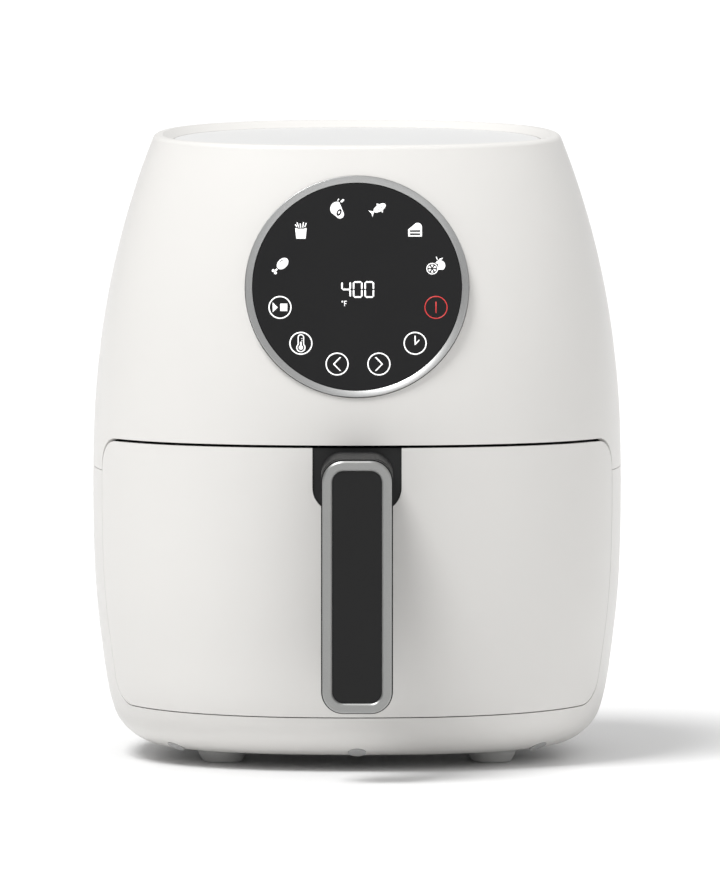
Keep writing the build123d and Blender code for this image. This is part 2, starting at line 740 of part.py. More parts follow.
with BuildPart() as motor_shaft:
    with Locations((0, PAN_Y, SHAFT_BOTTOM)):
        Cylinder(
            SHAFT_RADIUS,
            MOTOR_HEIGHT + MOTOR_LENGTH + 4 - SHAFT_BOTTOM,
            align=(Align.CENTER, Align.CENTER, Align.MIN),
        )
    chamfer(edges().group_by(Axis.Z)[0], length=0.8)
motor_shaft.part.label = "motor_shaft"
export_step(motor_shaft.part, "parts/motor_shaft.step")

with BuildPart() as fan_nut:
    with BuildSketch(Plane.XY.offset(FAN_HEIGHT - 5)):
        with Locations((0, PAN_Y)):
            RegularPolygon(5.5, 6)
            Circle(SHAFT_RADIUS, mode=Mode.SUBTRACT)
    extrude(amount=5)
fan_nut.part.label = "fan_nut"
export_step(fan_nut.part, "parts/fan_nut.step")

with BuildPart() as fan_motor:
    with BuildSketch(Plane.XY.offset(MOTOR_HEIGHT)):
        with Locations((0, PAN_Y)):
            Circle(MOTOR_RADIUS)
    extrude(amount=MOTOR_LENGTH)
    fillet(edges().group_by(Axis.Z)[-1], radius=4)
    with Locations((0, PAN_Y, MOTOR_HEIGHT + MOTOR_LENGTH)):
        Hole(radius=SHAFT_RADIUS + RUNNING_FIT)
fan_motor.part.label = "fan_motor"
export_step(fan_motor.part, "parts/fan_motor.step")

BRACKET_LEG = 72.0

with BuildPart() as motor_bracket:
    with BuildSketch(Plane.XY.offset(MOTOR_HEIGHT - 2)):
        with Locations((0, PAN_Y)):
            Circle(MOTOR_RADIUS + 4)
            Rectangle(2 * BRACKET_LEG, 16)
            Rectangle(16, 2 * BRACKET_LEG)
            Circle(SHAFT_RADIUS + 5, mode=Mode.SUBTRACT)
    extrude(amount=2)
    with BuildSketch(Plane.XY.offset(DOME_TOP)):
        with Locations((0, PAN_Y)):
            with PolarLocations(BRACKET_LEG - 1, 4):
                Rectangle(2, 16)
    extrude(amount=MOTOR_HEIGHT - 2 - DOME_TOP)
motor_bracket.part.label = "motor_bracket"
export_step(motor_bracket.part, "parts/motor_bracket.step")


with BuildPart() as exhaust_duct:
    with BuildSketch(Plane.XZ.offset(-PAN_Y - 70)):
        with Locations((0, (DUCT_LOW + DUCT_HIGH) / 2)):
            Rectangle(2 * DUCT_HALF_WIDTH, DUCT_HIGH - DUCT_LOW)
            Rectangle(
                2 * DUCT_HALF_WIDTH - 2 * DUCT_SHEET,
                DUCT_HIGH - DUCT_LOW - 2 * DUCT_SHEET,
                mode=Mode.SUBTRACT,
            )
    extrude(amount=-(REAR_DEPTH - 70))
    add(FITTED, mode=Mode.INTERSECT)
    add(dome_form(DOME_RADIUS + DOME_SHEET + 0.1, DOME_TOP + 0.1, DOME_CORNER), mode=Mode.SUBTRACT)
exhaust_duct.part.label = "exhaust_duct"
export_step(exhaust_duct.part, "parts/exhaust_duct.step")

with BuildPart() as temperature_sensor:
    with BuildSketch(Plane.XY.offset(180)):
        with Locations((-76, PAN_Y - 18)):
            Circle(1.6)
    extrude(amount=26)
    with BuildSketch(Plane.XY.offset(DOME_TOP)):
        with Locations((-52, PAN_Y + 40)):
            RectangleRounded(14, 9, 1.5)
    extrude(amount=5)
temperature_sensor.part.label = "temperature_sensor"
export_step(temperature_sensor.part, "parts/temperature_sensor.step")

with BuildPart() as power_board:
    with BuildSketch(Plane.XY.offset(276)):
        with Locations((0, WIDEST_Y + 30)):
            Rectangle(110, 74)
    extrude(amount=1.6)
    with BuildSketch(Plane.XY.offset(277.6)):
        with Locations((-34, WIDEST_Y + 32)):
            Rectangle(26, 22)
        with Locations((4, WIDEST_Y + 42)):
            Rectangle(18, 15)
        with Locations((36, WIDEST_Y + 20)):
            Circle(8)
        with Locations((34, WIDEST_Y + 48)):
            Rectangle(22, 12)
    extrude(amount=18)
power_board.part.label = "power_board"
export_step(power_board.part, "parts/power_board.step")

with BuildPart() as board_posts:
    with BuildSketch(Plane.XY.offset(MOTOR_HEIGHT)):
        with Locations((0, WIDEST_Y + 30)):
            with GridLocations(98, 62, 2, 2):
                Circle(4)
    extrude(amount=276 - MOTOR_HEIGHT)
    with BuildSketch(Plane.XY.offset(MOTOR_HEIGHT - 2)):
        with Locations((0, WIDEST_Y + 30)):
            Rectangle(106, 70)
            Rectangle(90, 54, mode=Mode.SUBTRACT)
    extrude(amount=2)
    with BuildSketch(Plane.XY.offset(MOTOR_HEIGHT - 3)):
        with Locations((0, PAN_Y)):
            Circle(MOTOR_RADIUS + 4.5)
            Rectangle(2 * BRACKET_LEG + 1, 17)
            Rectangle(17, 2 * BRACKET_LEG + 1)
    extrude(amount=3, mode=Mode.SUBTRACT)
board_posts.part.label = "board_posts"
export_step(board_posts.part, "parts/board_posts.step")

# ---------------------------------------------------------------- drawer switch
PAN_REAR_Y = PAN_Y + pan_half_width(SWITCH_HEIGHT, 0) - PAN_HALF_WIDTH + PAN_HALF_LENGTH

with BuildPart() as drawer_switch:
    with BuildSketch(Plane.XZ.offset(-LINER_BACK_Y)):
        with Locations((0, SWITCH_HEIGHT)):
            Rectangle(20, 14)
            Circle(3 + RUNNING_FIT, mode=Mode.SUBTRACT)
    extrude(amount=-14)
drawer_switch.part.label = "drawer_switch"
export_step(drawer_switch.part, "parts/drawer_switch.step")

with BuildPart() as switch_plunger:
    with BuildSketch(Plane.XZ.offset(-PAN_REAR_Y - FIT)):
        with Locations((0, SWITCH_HEIGHT)):
            Circle(3)
    extrude(amount=-(LINER_BACK_Y + 11 - PAN_REAR_Y))
    fillet(edges().group_by(Axis.Y)[0], radius=1.2)
switch_plunger.part.label = "switch_plunger"
export_step(switch_plunger.part, "parts/switch_plunger.step")

# ---------------------------------------------------------------- drawer front and pan
U_TOP = DRAWER_TOP + 8


def bracket_window(grow):
    """U-shaped prism through the drawer front, open at the top edge."""
    half = BRACKET_WIDTH / 2 + grow
    low = DRAWER_TOP + 1.6 - BRACKET_DROP - grow
    with BuildPart() as window:
        with BuildSketch(Plane.XZ.offset(40)):
            with BuildLine():
                Polyline((-half, U_TOP), (-half, low), (half, low), (half, U_TOP), close=True)
            make_face()
            fillet(vertices().group_by(Axis.Y)[0], radius=BRACKET_CORNER + grow)
        extrude(amount=HALF_DEPTH)
    return window.part


with BuildPart() as drawer_front:
    add(OUTER)
    add(DRAWER_INNER, mode=Mode.SUBTRACT)
    add(DRAWER, mode=Mode.INTERSECT)
    add(bracket_window(0.2), mode=Mode.SUBTRACT)
drawer_front.part.label = "drawer_front"
export_step(drawer_front.part, "parts/drawer_front.step")

BACKING = 2.4
RIM_WIDTH = 3.0


def rim_plate(grow):
    """The pan's flat rim, grown all round."""
    width = PAN_HALF_WIDTH + RIM_WIDTH + grow
    length = PAN_HALF_LENGTH + RIM_WIDTH + grow
    outline = egg_outline(width, length, length, PAN_POWER, PAN_POWER, PAN_Y)
    return plate(PAN_TOP - PAN_SHEET - grow, PAN_SHEET + 2 * grow, outline)


with BuildPart() as drawer_backing:
    add(DRAWER)
    add(drawer_prism(DRAWER_TOP_GAP, DRAWER_EDGE_GAP, -BACKING), mode=Mode.SUBTRACT)
    add(body_block(DRAWER_SKIN + 0.1, HEIGHT - 9), mode=Mode.INTERSECT)
    add(PAN_SPACE, mode=Mode.SUBTRACT)
    add(rim_plate(FIT), mode=Mode.SUBTRACT)
    add(bracket_window(0.2), mode=Mode.SUBTRACT)
drawer_backing.part.label = "drawer_backing"
export_step(drawer_backing.part, "parts/drawer_backing.step")

BRACKET_SET_BACK = 1.0
BRACKET_DEPTH = 6.0
SCREW_HEIGHT = 146.0

with BuildPart() as handle_bracket:
    add(body_block(BRACKET_SET_BACK, HEIGHT - 9))
    add(body_block(BRACKET_SET_BACK + BRACKET_DEPTH, HEIGHT - 9), mode=Mode.SUBTRACT)
    add(bracket_window(0), mode=Mode.INTERSECT)
    add(DRAWER, mode=Mode.INTERSECT)
    with BuildSketch(Plane.XZ.offset(40)):
        with Locations((-9, SCREW_HEIGHT), (9, SCREW_HEIGHT)):
            Circle(2.2)
    extrude(amount=HALF_DEPTH, mode=Mode.SUBTRACT)
handle_bracket.part.label = "handle_bracket"
export_step(handle_bracket.part, "parts/handle_bracket.step")

with BuildPart() as pan:
    add(pan_block(0, PAN_TOP))
    add(rim_plate(0))
    add(pan_block(PAN_SHEET, PAN_TOP + 1), mode=Mode.SUBTRACT)
pan.part.label = "pan"
export_step(pan.part, "parts/pan.step")

with BuildPart() as pan_bracket:
    with BuildSketch(Plane.XY.offset(70)):
        with Locations((0, PAN_Y - PAN_HALF_LENGTH - 4)):
            Rectangle(56, 30)
    extrude(amount=PAN_TOP - 4 - 70)
    with BuildSketch(Plane.XZ.offset(40)):
        with Locations((-9, SCREW_HEIGHT), (9, SCREW_HEIGHT)):
            Circle(4.6)
    extrude(amount=HALF_DEPTH, mode=Mode.SUBTRACT)
    add(body_block(BRACKET_SET_BACK + BRACKET_DEPTH + 0.1, HEIGHT - 9), mode=Mode.INTERSECT)
    add(pan_block(-0.1, PAN_TOP + 20), mode=Mode.SUBTRACT)
pan_bracket.part.label = "pan_bracket"
export_step(pan_bracket.part, "parts/pan_bracket.step")

# Crisper tray: a perforated plate on four legs, with soft bumpers on its edge.
TRAY_GAP = 2.4
TRAY_FLOOR = PAN_BOTTOM + PAN_SHEET + FIT
HOLE_RINGS = ((14.0, 6), (28.0, 12), (42.0, 18), (56.0, 24), (70.0, 30))

with BuildPart() as crisper_tray:
    add(plate(TRAY_HEIGHT, TRAY_SHEET, pan_outline(TRAY_HEIGHT, PAN_SHEET + TRAY_GAP)))
    with BuildSketch(Plane.XY.offset(TRAY_HEIGHT)):
        with Locations((0, PAN_Y)):
            Circle(8)
            for radius, count in HOLE_RINGS:
                with PolarLocations(radius, count):
                    Circle(3.2)
    extrude(amount=TRAY_SHEET, mode=Mode.SUBTRACT)
    with BuildSketch(Plane.XY.offset(TRAY_FLOOR)):
        with Locations((0, PAN_Y)):
            with PolarLocations(83, 4, start_angle=45):
                Circle(4)
    extrude(amount=TRAY_HEIGHT - TRAY_FLOOR)
crisper_tray.part.label = "crisper_tray"
export_step(crisper_tray.part, "parts/crisper_tray.step")

with BuildPart() as tray_bumpers:
    for across, along in ((1, 0), (-1, 0), (0, 1), (0, -1)):
        width = pan_half_width(TRAY_HEIGHT - 2, PAN_SHEET + 2 * FIT)
        length = width - PAN_HALF_WIDTH + PAN_HALF_LENGTH
        with BuildSketch(Plane.XY.offset(TRAY_HEIGHT - 2)):
            with Locations((across * (width - 3), PAN_Y + along * (length - 3))):
                RectangleRounded(6 if across else 16, 16 if across else 6, 1.4)
        extrude(amount=TRAY_SHEET + 4)
    add(crisper_tray.part, mode=Mode.SUBTRACT)
tray_bumpers.part.label = "tray_bumpers"
export_step(tray_bumpers.part, "parts/tray_bumpers.step")

# ---------------------------------------------------------------- handle
FRAME_DEPTH = 3.2
FRAME_BAND = 5.0
FRAME_CHAMFER = 0.8
INSERT_SET_BACK = 0.6
INSERT_GAP = 0.1
BODY_MARGIN = 0.6
GRIP_DEPTH = 18.0
NECK_HEIGHT = 24.0
HANDLE_MIDDLE = (HANDLE_TOP + HANDLE_BOTTOM) / 2
HANDLE_LENGTH = HANDLE_TOP - HANDLE_BOTTOM
HANDLE_FRONT = Plane.XZ.offset(HALF_DEPTH)

with BuildPart() as handle_frame:
    with BuildSketch(HANDLE_FRONT):
        with Locations((0, HANDLE_MIDDLE)):
            RectangleRounded(HANDLE_WIDTH, HANDLE_LENGTH, HANDLE_CORNER)
            RectangleRounded(
                HANDLE_WIDTH - 2 * FRAME_BAND,
                HANDLE_LENGTH - 2 * FRAME_BAND,
                HANDLE_CORNER - FRAME_BAND,
                mode=Mode.SUBTRACT,
            )
    extrude(amount=-FRAME_DEPTH)
    chamfer(faces().sort_by(Axis.Y)[0].edges(), length=FRAME_CHAMFER)
handle_frame.part.label = "handle_frame"
export_step(handle_frame.part, "parts/handle_frame.step")

with BuildPart() as handle_insert:
    with BuildSketch(HANDLE_FRONT.offset(-INSERT_SET_BACK)):
        with Locations((0, HANDLE_MIDDLE)):
            RectangleRounded(
                HANDLE_WIDTH - 2 * FRAME_BAND - 2 * INSERT_GAP,
                HANDLE_LENGTH - 2 * FRAME_BAND - 2 * INSERT_GAP,
                HANDLE_CORNER - FRAME_BAND,
            )
    extrude(amount=INSERT_SET_BACK - FRAME_DEPTH)
handle_insert.part.label = "handle_insert"
export_step(handle_insert.part, "parts/handle_insert.step")

with BuildPart() as handle_body:
    with BuildSketch(HANDLE_FRONT.offset(-FRAME_DEPTH)):
        with Locations((0, HANDLE_MIDDLE)):
            RectangleRounded(
                HANDLE_WIDTH + 2 * BODY_MARGIN,
                HANDLE_LENGTH + 2 * BODY_MARGIN,
                HANDLE_CORNER + BODY_MARGIN,
            )
    extrude(amount=-GRIP_DEPTH)
    fillet(faces().sort_by(Axis.Y)[-1].edges(), radius=5)
    with BuildSketch(HANDLE_FRONT.offset(-FRAME_DEPTH - 6)):
        with Locations((0, HANDLE_TOP + BODY_MARGIN - NECK_HEIGHT / 2)):
            RectangleRounded(HANDLE_WIDTH + 2 * BODY_MARGIN, NECK_HEIGHT, HANDLE_CORNER)
    extrude(amount=-HANDLE_REACH)
    add(body_block(BRACKET_SET_BACK, HEIGHT - 9), mode=Mode.SUBTRACT)
    with BuildSketch(Plane.XZ.offset(40)):
        with Locations((-9, SCREW_HEIGHT), (9, SCREW_HEIGHT)):
            Circle(1.9)
    extrude(amount=HALF_DEPTH - 40 - 22, mode=Mode.SUBTRACT)
handle_body.part.label = "handle_body"
export_step(handle_body.part, "parts/handle_body.step")

SCREW_SEAT_Y = front_y(SCREW_HEIGHT) + BRACKET_SET_BACK + BRACKET_DEPTH

with BuildPart() as handle_screws:
    with BuildSketch(Plane.XZ.offset(-SCREW_SEAT_Y - 0.6)):
        with Locations((-9, SCREW_HEIGHT), (9, SCREW_HEIGHT)):
            Circle(4)
    extrude(amount=-2.4)
    with BuildSketch(Plane.XZ.offset(-SCREW_SEAT_Y - 0.6)):
        with Locations((-9, SCREW_HEIGHT), (9, SCREW_HEIGHT)):
            Circle(1.8)
    extrude(amount=20)
handle_screws.part.label = "handle_screws"
export_step(handle_screws.part, "parts/handle_screws.step")

with BuildPart() as base_screws:
    with BuildSketch(Plane.XY.offset(BODY_BOTTOM - 0.4)):
        with Locations((0, WIDEST_Y + 10)):
            with PolarLocations(BASE_SCREW_CIRCLE, 6, start_angle=30):
                Circle(3.2)
    extrude(amount=2)
    with BuildSketch(Plane.XY.offset(BODY_BOTTOM - 0.4)):
        with Locations((0, WIDEST_Y + 10)):
            with PolarLocations(BASE_SCREW_CIRCLE, 6, start_angle=30):
                Circle(1.6)
    extrude(amount=14)
base_screws.part.label = "base_screws"
export_step(base_screws.part, "parts/base_screws.step")
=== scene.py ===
import json
import math

import bpy
import bmesh
from mathutils import Matrix, Vector


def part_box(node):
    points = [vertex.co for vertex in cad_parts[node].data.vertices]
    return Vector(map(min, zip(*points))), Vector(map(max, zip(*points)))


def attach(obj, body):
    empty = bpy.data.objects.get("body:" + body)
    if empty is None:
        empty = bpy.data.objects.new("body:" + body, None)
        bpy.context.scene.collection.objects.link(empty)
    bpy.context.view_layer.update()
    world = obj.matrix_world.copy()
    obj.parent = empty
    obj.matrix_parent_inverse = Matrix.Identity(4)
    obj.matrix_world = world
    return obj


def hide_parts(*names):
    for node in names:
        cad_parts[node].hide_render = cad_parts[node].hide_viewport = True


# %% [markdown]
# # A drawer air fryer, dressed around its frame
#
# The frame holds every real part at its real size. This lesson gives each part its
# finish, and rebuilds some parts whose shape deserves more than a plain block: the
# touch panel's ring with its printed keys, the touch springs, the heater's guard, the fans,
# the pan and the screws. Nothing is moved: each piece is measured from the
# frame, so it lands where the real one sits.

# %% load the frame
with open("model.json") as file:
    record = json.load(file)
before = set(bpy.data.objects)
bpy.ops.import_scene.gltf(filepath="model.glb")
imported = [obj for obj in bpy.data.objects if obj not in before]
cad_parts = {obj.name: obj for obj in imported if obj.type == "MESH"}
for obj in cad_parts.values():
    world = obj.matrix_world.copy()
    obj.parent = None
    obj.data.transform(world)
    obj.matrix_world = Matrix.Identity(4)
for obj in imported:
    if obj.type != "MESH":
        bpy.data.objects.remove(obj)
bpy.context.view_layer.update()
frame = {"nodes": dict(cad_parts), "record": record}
NODES = frame["nodes"]
SLOT_OF = {part["node"]: part["material_slot"] for part in frame["record"]["subparts"]}
BODY_OF = {
    node: body for body, nodes in frame["record"]["behaviour"]["bodies"].items() for node in nodes
}
MM = 0.001

# %% [markdown]
# ## Writing node trees as sums
#
# A node tree is a long formula. Wrapping a socket in a small class lets Python's own
# signs add the Math nodes, so a mask reads like the sentence it stands for. Everything
# that isn't a sum comes from one method, which sets a node's choices first and then fills
# its sockets, because some choices rename the sockets. The same class serves materials
# and Geometry Nodes alike.


# %% a socket that can be used in sums
class Wire:
    """One output socket; numbers and other wires can be added, scaled or compared with it."""

    def __init__(self, tree, socket=None):
        self.tree = tree
        self.socket = socket

    def node(self, kind, settings=None, values=None, output=0):
        """Add a node of any kind: its settings first, then values or links for its sockets."""
        made = self.tree.nodes.new(kind)
        for name, value in (settings or {}).items():
            if name == "stops":
                fill_ramp(made, value)
            else:
                setattr(made, name, value)
        for name, value in (values or {}).items():
            if isinstance(value, Wire):
                self.tree.links.new(value.socket, made.inputs[name])
            else:
                made.inputs[name].default_value = value
        return Wire(self.tree, made.outputs[output]) if made.outputs else made

    def sum(self, operation, first, second=0.0, third=0.0):
        values = {0: first, 1: second, 2: third}
        return self.node("ShaderNodeMath", {"operation": operation}, values)

    def __add__(self, other):
        return self.sum("ADD", self, other)

    def __radd__(self, other):
        return self.sum("ADD", other, self)

    def __sub__(self, other):
        return self.sum("SUBTRACT", self, other)

    def __rsub__(self, other):
        return self.sum("SUBTRACT", other, self)

    def __mul__(self, other):
        return self.sum("MULTIPLY", self, other)

    def __rmul__(self, other):
        return self.sum("MULTIPLY", other, self)

    def __truediv__(self, other):
        return self.sum("DIVIDE", self, other)

    def __rtruediv__(self, other):
        return self.sum("DIVIDE", other, self)

    def __pow__(self, other):
        return self.sum("POWER", self, other)

    def over(self, edge, softness):
        """0 below edge, 1 above it, turning over softness."""
        values = {"Value": self, "From Min": edge - softness, "From Max": edge + softness}
        return self.node("ShaderNodeMapRange", {"interpolation_type": "SMOOTHSTEP"}, values)


def fill_ramp(node, stops):
    """Give a colour ramp its stops, as pairs of place and colour."""
    elements = node.color_ramp.elements
    while len(elements) < len(stops):
        elements.new(0.5)
    for element, (place, colour) in zip(elements, stops):
        element.position = place
        element.color = colour


print("wire signs: + - * / ** over()")

# %% [markdown]
# ## A finish starts the same way every time
#
# Each finish is one Principled shader. What is the same all over goes straight on its
# sockets, and what changes over the surface comes from noise read in the piece's own
# coordinates, so it stays put when the drawer slides. Noise in three dimensions needs no
# seams and no unwrapping, which is why it is used here in place of a flat picture.


# %% a new finish
class Finish:
    """A material under construction: its wires, its coordinates and its shader."""

    def __init__(self, name, **constants):
        self.material = bpy.data.materials.new(name)
        self.material.use_nodes = True
        tree = self.material.node_tree
        self.shader = tree.nodes["Principled BSDF"]
        self.wires = Wire(tree)
        for socket, value in constants.items():
            self.shader.inputs[socket.replace("_", " ")].default_value = value
        self.place = self.wires.node("ShaderNodeTexCoord", output="Object")

    def stretched(self, scale):
        """The piece's coordinates in metres, stretched by a factor on each axis."""
        values = {"Vector": self.place, "Scale": scale}
        return self.wires.node("ShaderNodeMapping", None, values)

    def noise(self, scale, detail=3.0, roughness=0.5, place=None):
        """Smooth noise between 0 and 1, with scale features to the metre."""
        values = {"Scale": scale, "Detail": detail, "Roughness": roughness}
        values["Vector"] = place or self.place
        return self.wires.node("ShaderNodeTexNoise", None, values)

    def cells(self, scale, place=None, feature="F1"):
        """Distance to scattered points, for grains and flakes."""
        values = {"Scale": scale, "Vector": place or self.place}
        return self.wires.node("ShaderNodeTexVoronoi", {"feature": feature}, values)

    def between(self, factor, first, second):
        """Mix two colours."""
        values = {0: factor, 6: first, 7: second}
        return self.wires.node("ShaderNodeMix", {"data_type": "RGBA"}, values, output=2)

    def bump(self, height, distance, strength=1.0):
        """Send a height to the normal; distance is the real depth in metres."""
        values = {"Height": height, "Distance": distance, "Strength": strength}
        self.set("Normal", self.wires.node("ShaderNodeBump", None, values))

    def set(self, socket, wire):
        """Link a wire to the shader."""
        self.wires.tree.links.new(wire.socket, self.shader.inputs[socket])


def shade(colour, factor):
    """A colour scaled by a factor, with full alpha."""
    return tuple(min(1.0, channel * factor) for channel in colour[:3]) + (1.0,)


FINISHES = {}

# %% [markdown]
# ## Moulded plastic
#
# White ABS comes out of a spark-eroded mould with a grain too fine to see as bumps; it
# shows only as a softened reflection. A flat colour with a sharp reflection would look
# like glaze, so a fine noise roughens the normal by a few hundredths of a millimetre,
# a slow noise moves the roughness a little, and the colour drifts by one percent.


# %% moulded plastic finishes
def moulded_plastic(name, colour, roughness, grain=0.00001, drift=0.02, coat=0.0):
    """Plastic from a fine-grained mould."""
    finish = Finish(name, Specular_IOR_Level=0.45, Coat_Weight=coat, Coat_Roughness=0.25)
    cloud = finish.noise(14.0, 3.0)
    fine = finish.noise(2600.0, 2.0)
    tint = finish.between(cloud, shade(colour, 1 - drift), shade(colour, 1 + drift / 2))
    finish.set("Base Color", tint)
    finish.set("Roughness", roughness - 0.03 + cloud * 0.06 + fine * 0.02)
    finish.bump(fine, grain)
    FINISHES[name] = finish.material


WARM_WHITE = (0.7, 0.688, 0.667)
moulded_plastic("white_shell", WARM_WHITE, 0.34)
moulded_plastic("white_drawer", WARM_WHITE, 0.34)
moulded_plastic("white_lid", (0.675, 0.675, 0.671), 0.42)
moulded_plastic("white_vent", WARM_WHITE, 0.42, grain=0.00002)
moulded_plastic("grey_base", (0.55, 0.55, 0.54), 0.5, grain=0.00004)
moulded_plastic("runner_plastic", (0.05, 0.05, 0.05), 0.45)
moulded_plastic("fan_plastic", (0.035, 0.035, 0.036), 0.42, grain=0.00002)
moulded_plastic("plunger_white", (0.75, 0.74, 0.7), 0.4)
moulded_plastic("display_body", (0.02, 0.02, 0.02), 0.5)
print("moulded plastic:", len(FINISHES), "finishes")

# %% [markdown]
# ## Black plastics and soft parts
#
# The grip, its bracket and the bay are black plastic from a rougher mould: a soft sheen
# with a visible grain. The feet, the plugs and the tray's bumpers are rubbery, so they
# reflect almost nothing, and a slow noise keeps their greys from looking printed.


# %% black plastic and rubber finishes
def grained_plastic(name, colour, roughness, grain):
    """Dark plastic with a leather-fine grain."""
    finish = Finish(name, Specular_IOR_Level=0.28)
    grains = finish.cells(1500.0)
    cloud = finish.noise(9.0, 2.0)
    finish.set("Base Color", finish.between(cloud, shade(colour, 0.85), shade(colour, 1.2)))
    finish.set("Roughness", roughness - 0.05 + cloud * 0.08 + grains * 0.08)
    finish.bump(grains, grain, 0.6)
    FINISHES[name] = finish.material


def rubber(name, colour, roughness=0.78):
    """Matt elastomer with a dusty bloom."""
    finish = Finish(name, Specular_IOR_Level=0.3)
    bloom = finish.noise(60.0, 4.0, 0.6)
    fine = finish.noise(1800.0, 2.0)
    finish.set("Base Color", finish.between(bloom, shade(colour, 0.9), shade(colour, 1.1)))
    finish.set("Roughness", roughness + bloom * 0.1)
    finish.bump(fine, 0.00003, 0.5)
    FINISHES[name] = finish.material


SOFT_BLACK = (0.009, 0.009, 0.0093)
grained_plastic("grip_black", SOFT_BLACK, 0.5, 0.00002)
grained_plastic("bracket_black", (0.014, 0.014, 0.0142), 0.45, 0.00002)
grained_plastic("bay_black", (0.028, 0.028, 0.029), 0.5, 0.00004)
grained_plastic("backing_black", (0.028, 0.028, 0.029), 0.5, 0.00004)
grained_plastic("inner_black", (0.025, 0.025, 0.025), 0.5, 0.00004)
grained_plastic("black_fitting", (0.03, 0.03, 0.03), 0.45, 0.00004)
rubber("foot_rubber", (0.52, 0.52, 0.51))
rubber("grey_plug", (0.42, 0.42, 0.42))
rubber("bumper_silicone", (0.03, 0.03, 0.03), 0.62)
print("finishes so far:", len(FINISHES))

# %% [markdown]
# ## Gloss black windows
#
# The panel's window and the grip's insert are tinted acrylic: black, smooth and evenly
# reflecting. What tells acrylic from paint is a clear coat over a body that is not quite
# smooth, so the coat is sharp while the base under it is a little rough. Both windows here
# are made with no coat, so only the slightly rough base reflects.


# %% gloss black finishes
def window_black(name, colour, roughness, coat):
    """Tinted acrylic under a clear face."""
    finish = Finish(name, Specular_IOR_Level=0.22, Coat_Weight=coat, Coat_Roughness=0.06)
    haze = finish.noise(20.0, 2.0)
    finish.set("Base Color", finish.between(haze, shade(colour, 0.93), shade(colour, 1.07)))
    finish.set("Roughness", roughness + haze * 0.05)
    finish.bump(finish.noise(35.0, 1.0), 0.00001, 0.3)
    FINISHES[name] = finish.material


window_black("panel_black", (0.013, 0.013, 0.0135), 0.32, 0.0)
window_black("handle_black", (0.01, 0.01, 0.0102), 0.38, 0.0)
print("finishes so far:", len(FINISHES))

# %% [markdown]
# ## Silver paint and plain metals
#
# The ring and the handle's frame are plastic sprayed with silver paint: metal flakes too
# small to see one by one, which scatter the light around each highlight. Small cells give
# each flake its own tilt. The inner metals differ mostly in their grain: sheet is rolled,
# so its noise is stretched one way; wire and tube are drawn; the fan is pressed.


# %% metal finishes
def silver_paint(name, colour, roughness):
    """Sprayed metallic paint with fine flakes."""
    finish = Finish(name, Metallic=0.75, Coat_Weight=0.3, Coat_Roughness=0.3)
    flakes = finish.cells(3800.0)
    cloud = finish.noise(25.0, 2.0)
    finish.set("Base Color", finish.between(flakes, shade(colour, 0.9), shade(colour, 1.12)))
    finish.set("Roughness", roughness + cloud * 0.06)
    finish.bump(flakes, 0.00001, 0.35)
    FINISHES[name] = finish.material


def rolled_metal(name, colour, roughness, grain=(60.0, 60.0, 2200.0), stain=0.12):
    """Sheet, wire or tube with a grain drawn out along one axis."""
    finish = Finish(name, Metallic=1.0)
    lines = finish.noise(1.0, 4.0, 0.6, finish.stretched(grain))
    cloud = finish.noise(18.0, 3.0)
    finish.set("Base Color", finish.between(cloud, shade(colour, 1 - stain), shade(colour, 1 + stain / 2)))
    finish.set("Roughness", roughness - 0.06 + lines * 0.16 + cloud * 0.06)
    finish.bump(lines, 0.00002, 0.4)
    FINISHES[name] = finish.material


def heated_tube(name):
    """Heater sheath: steel browned and blued by its own heat."""
    finish = Finish(name, Metallic=1.0)
    patches = finish.noise(38.0, 4.0, 0.6)
    stops = [
        (0.3, (0.10, 0.085, 0.075, 1)),
        (0.5, (0.22, 0.17, 0.13, 1)),
        (0.7, (0.15, 0.15, 0.18, 1)),
    ]
    finish.set("Base Color", finish.wires.node("ShaderNodeValToRGB", {"stops": stops}, {"Fac": patches}))
    finish.set("Roughness", 0.35 + patches * 0.25)
    finish.bump(finish.noise(900.0, 2.0), 0.00004, 0.4)
    FINISHES[name] = finish.material


silver_paint("satin_silver", (0.42, 0.423, 0.42), 0.32)
silver_paint("handle_silver", (0.31, 0.312, 0.306), 0.36)
rolled_metal("liner_steel", (0.52, 0.52, 0.5), 0.38)
rolled_metal("reflector_steel", (0.62, 0.62, 0.6), 0.3, (900.0, 40.0, 40.0))
rolled_metal("bracket_steel", (0.55, 0.56, 0.58), 0.36, (1500.0, 50.0, 50.0), 0.18)
rolled_metal("guard_steel", (0.6, 0.6, 0.6), 0.25, (300.0, 300.0, 300.0))
rolled_metal("spring_steel", (0.6, 0.6, 0.62), 0.25, (500.0, 500.0, 500.0))
rolled_metal("screw_steel", (0.5, 0.5, 0.5), 0.3, (700.0, 700.0, 700.0))
rolled_metal("shaft_steel", (0.62, 0.62, 0.62), 0.2, (120.0, 120.0, 2600.0))
rolled_metal("sensor_steel", (0.6, 0.6, 0.6), 0.25, (200.0, 200.0, 1800.0))
rolled_metal("fan_aluminium", (0.72, 0.72, 0.73), 0.32, (260.0, 260.0, 60.0), 0.08)
rolled_metal("motor_steel", (0.42, 0.43, 0.45), 0.42, (90.0, 90.0, 3000.0), 0.15)
heated_tube("heater_steel")
print("finishes so far:", len(FINISHES))

# %% [markdown]
# ## Non-stick coating
#
# The pan and its tray are sprayed with a dark coating that holds tiny light specks. The
# specks are scattered cells, kept only where a cell's centre is near, and the surface has
# the slight orange peel of a sprayed and baked film.


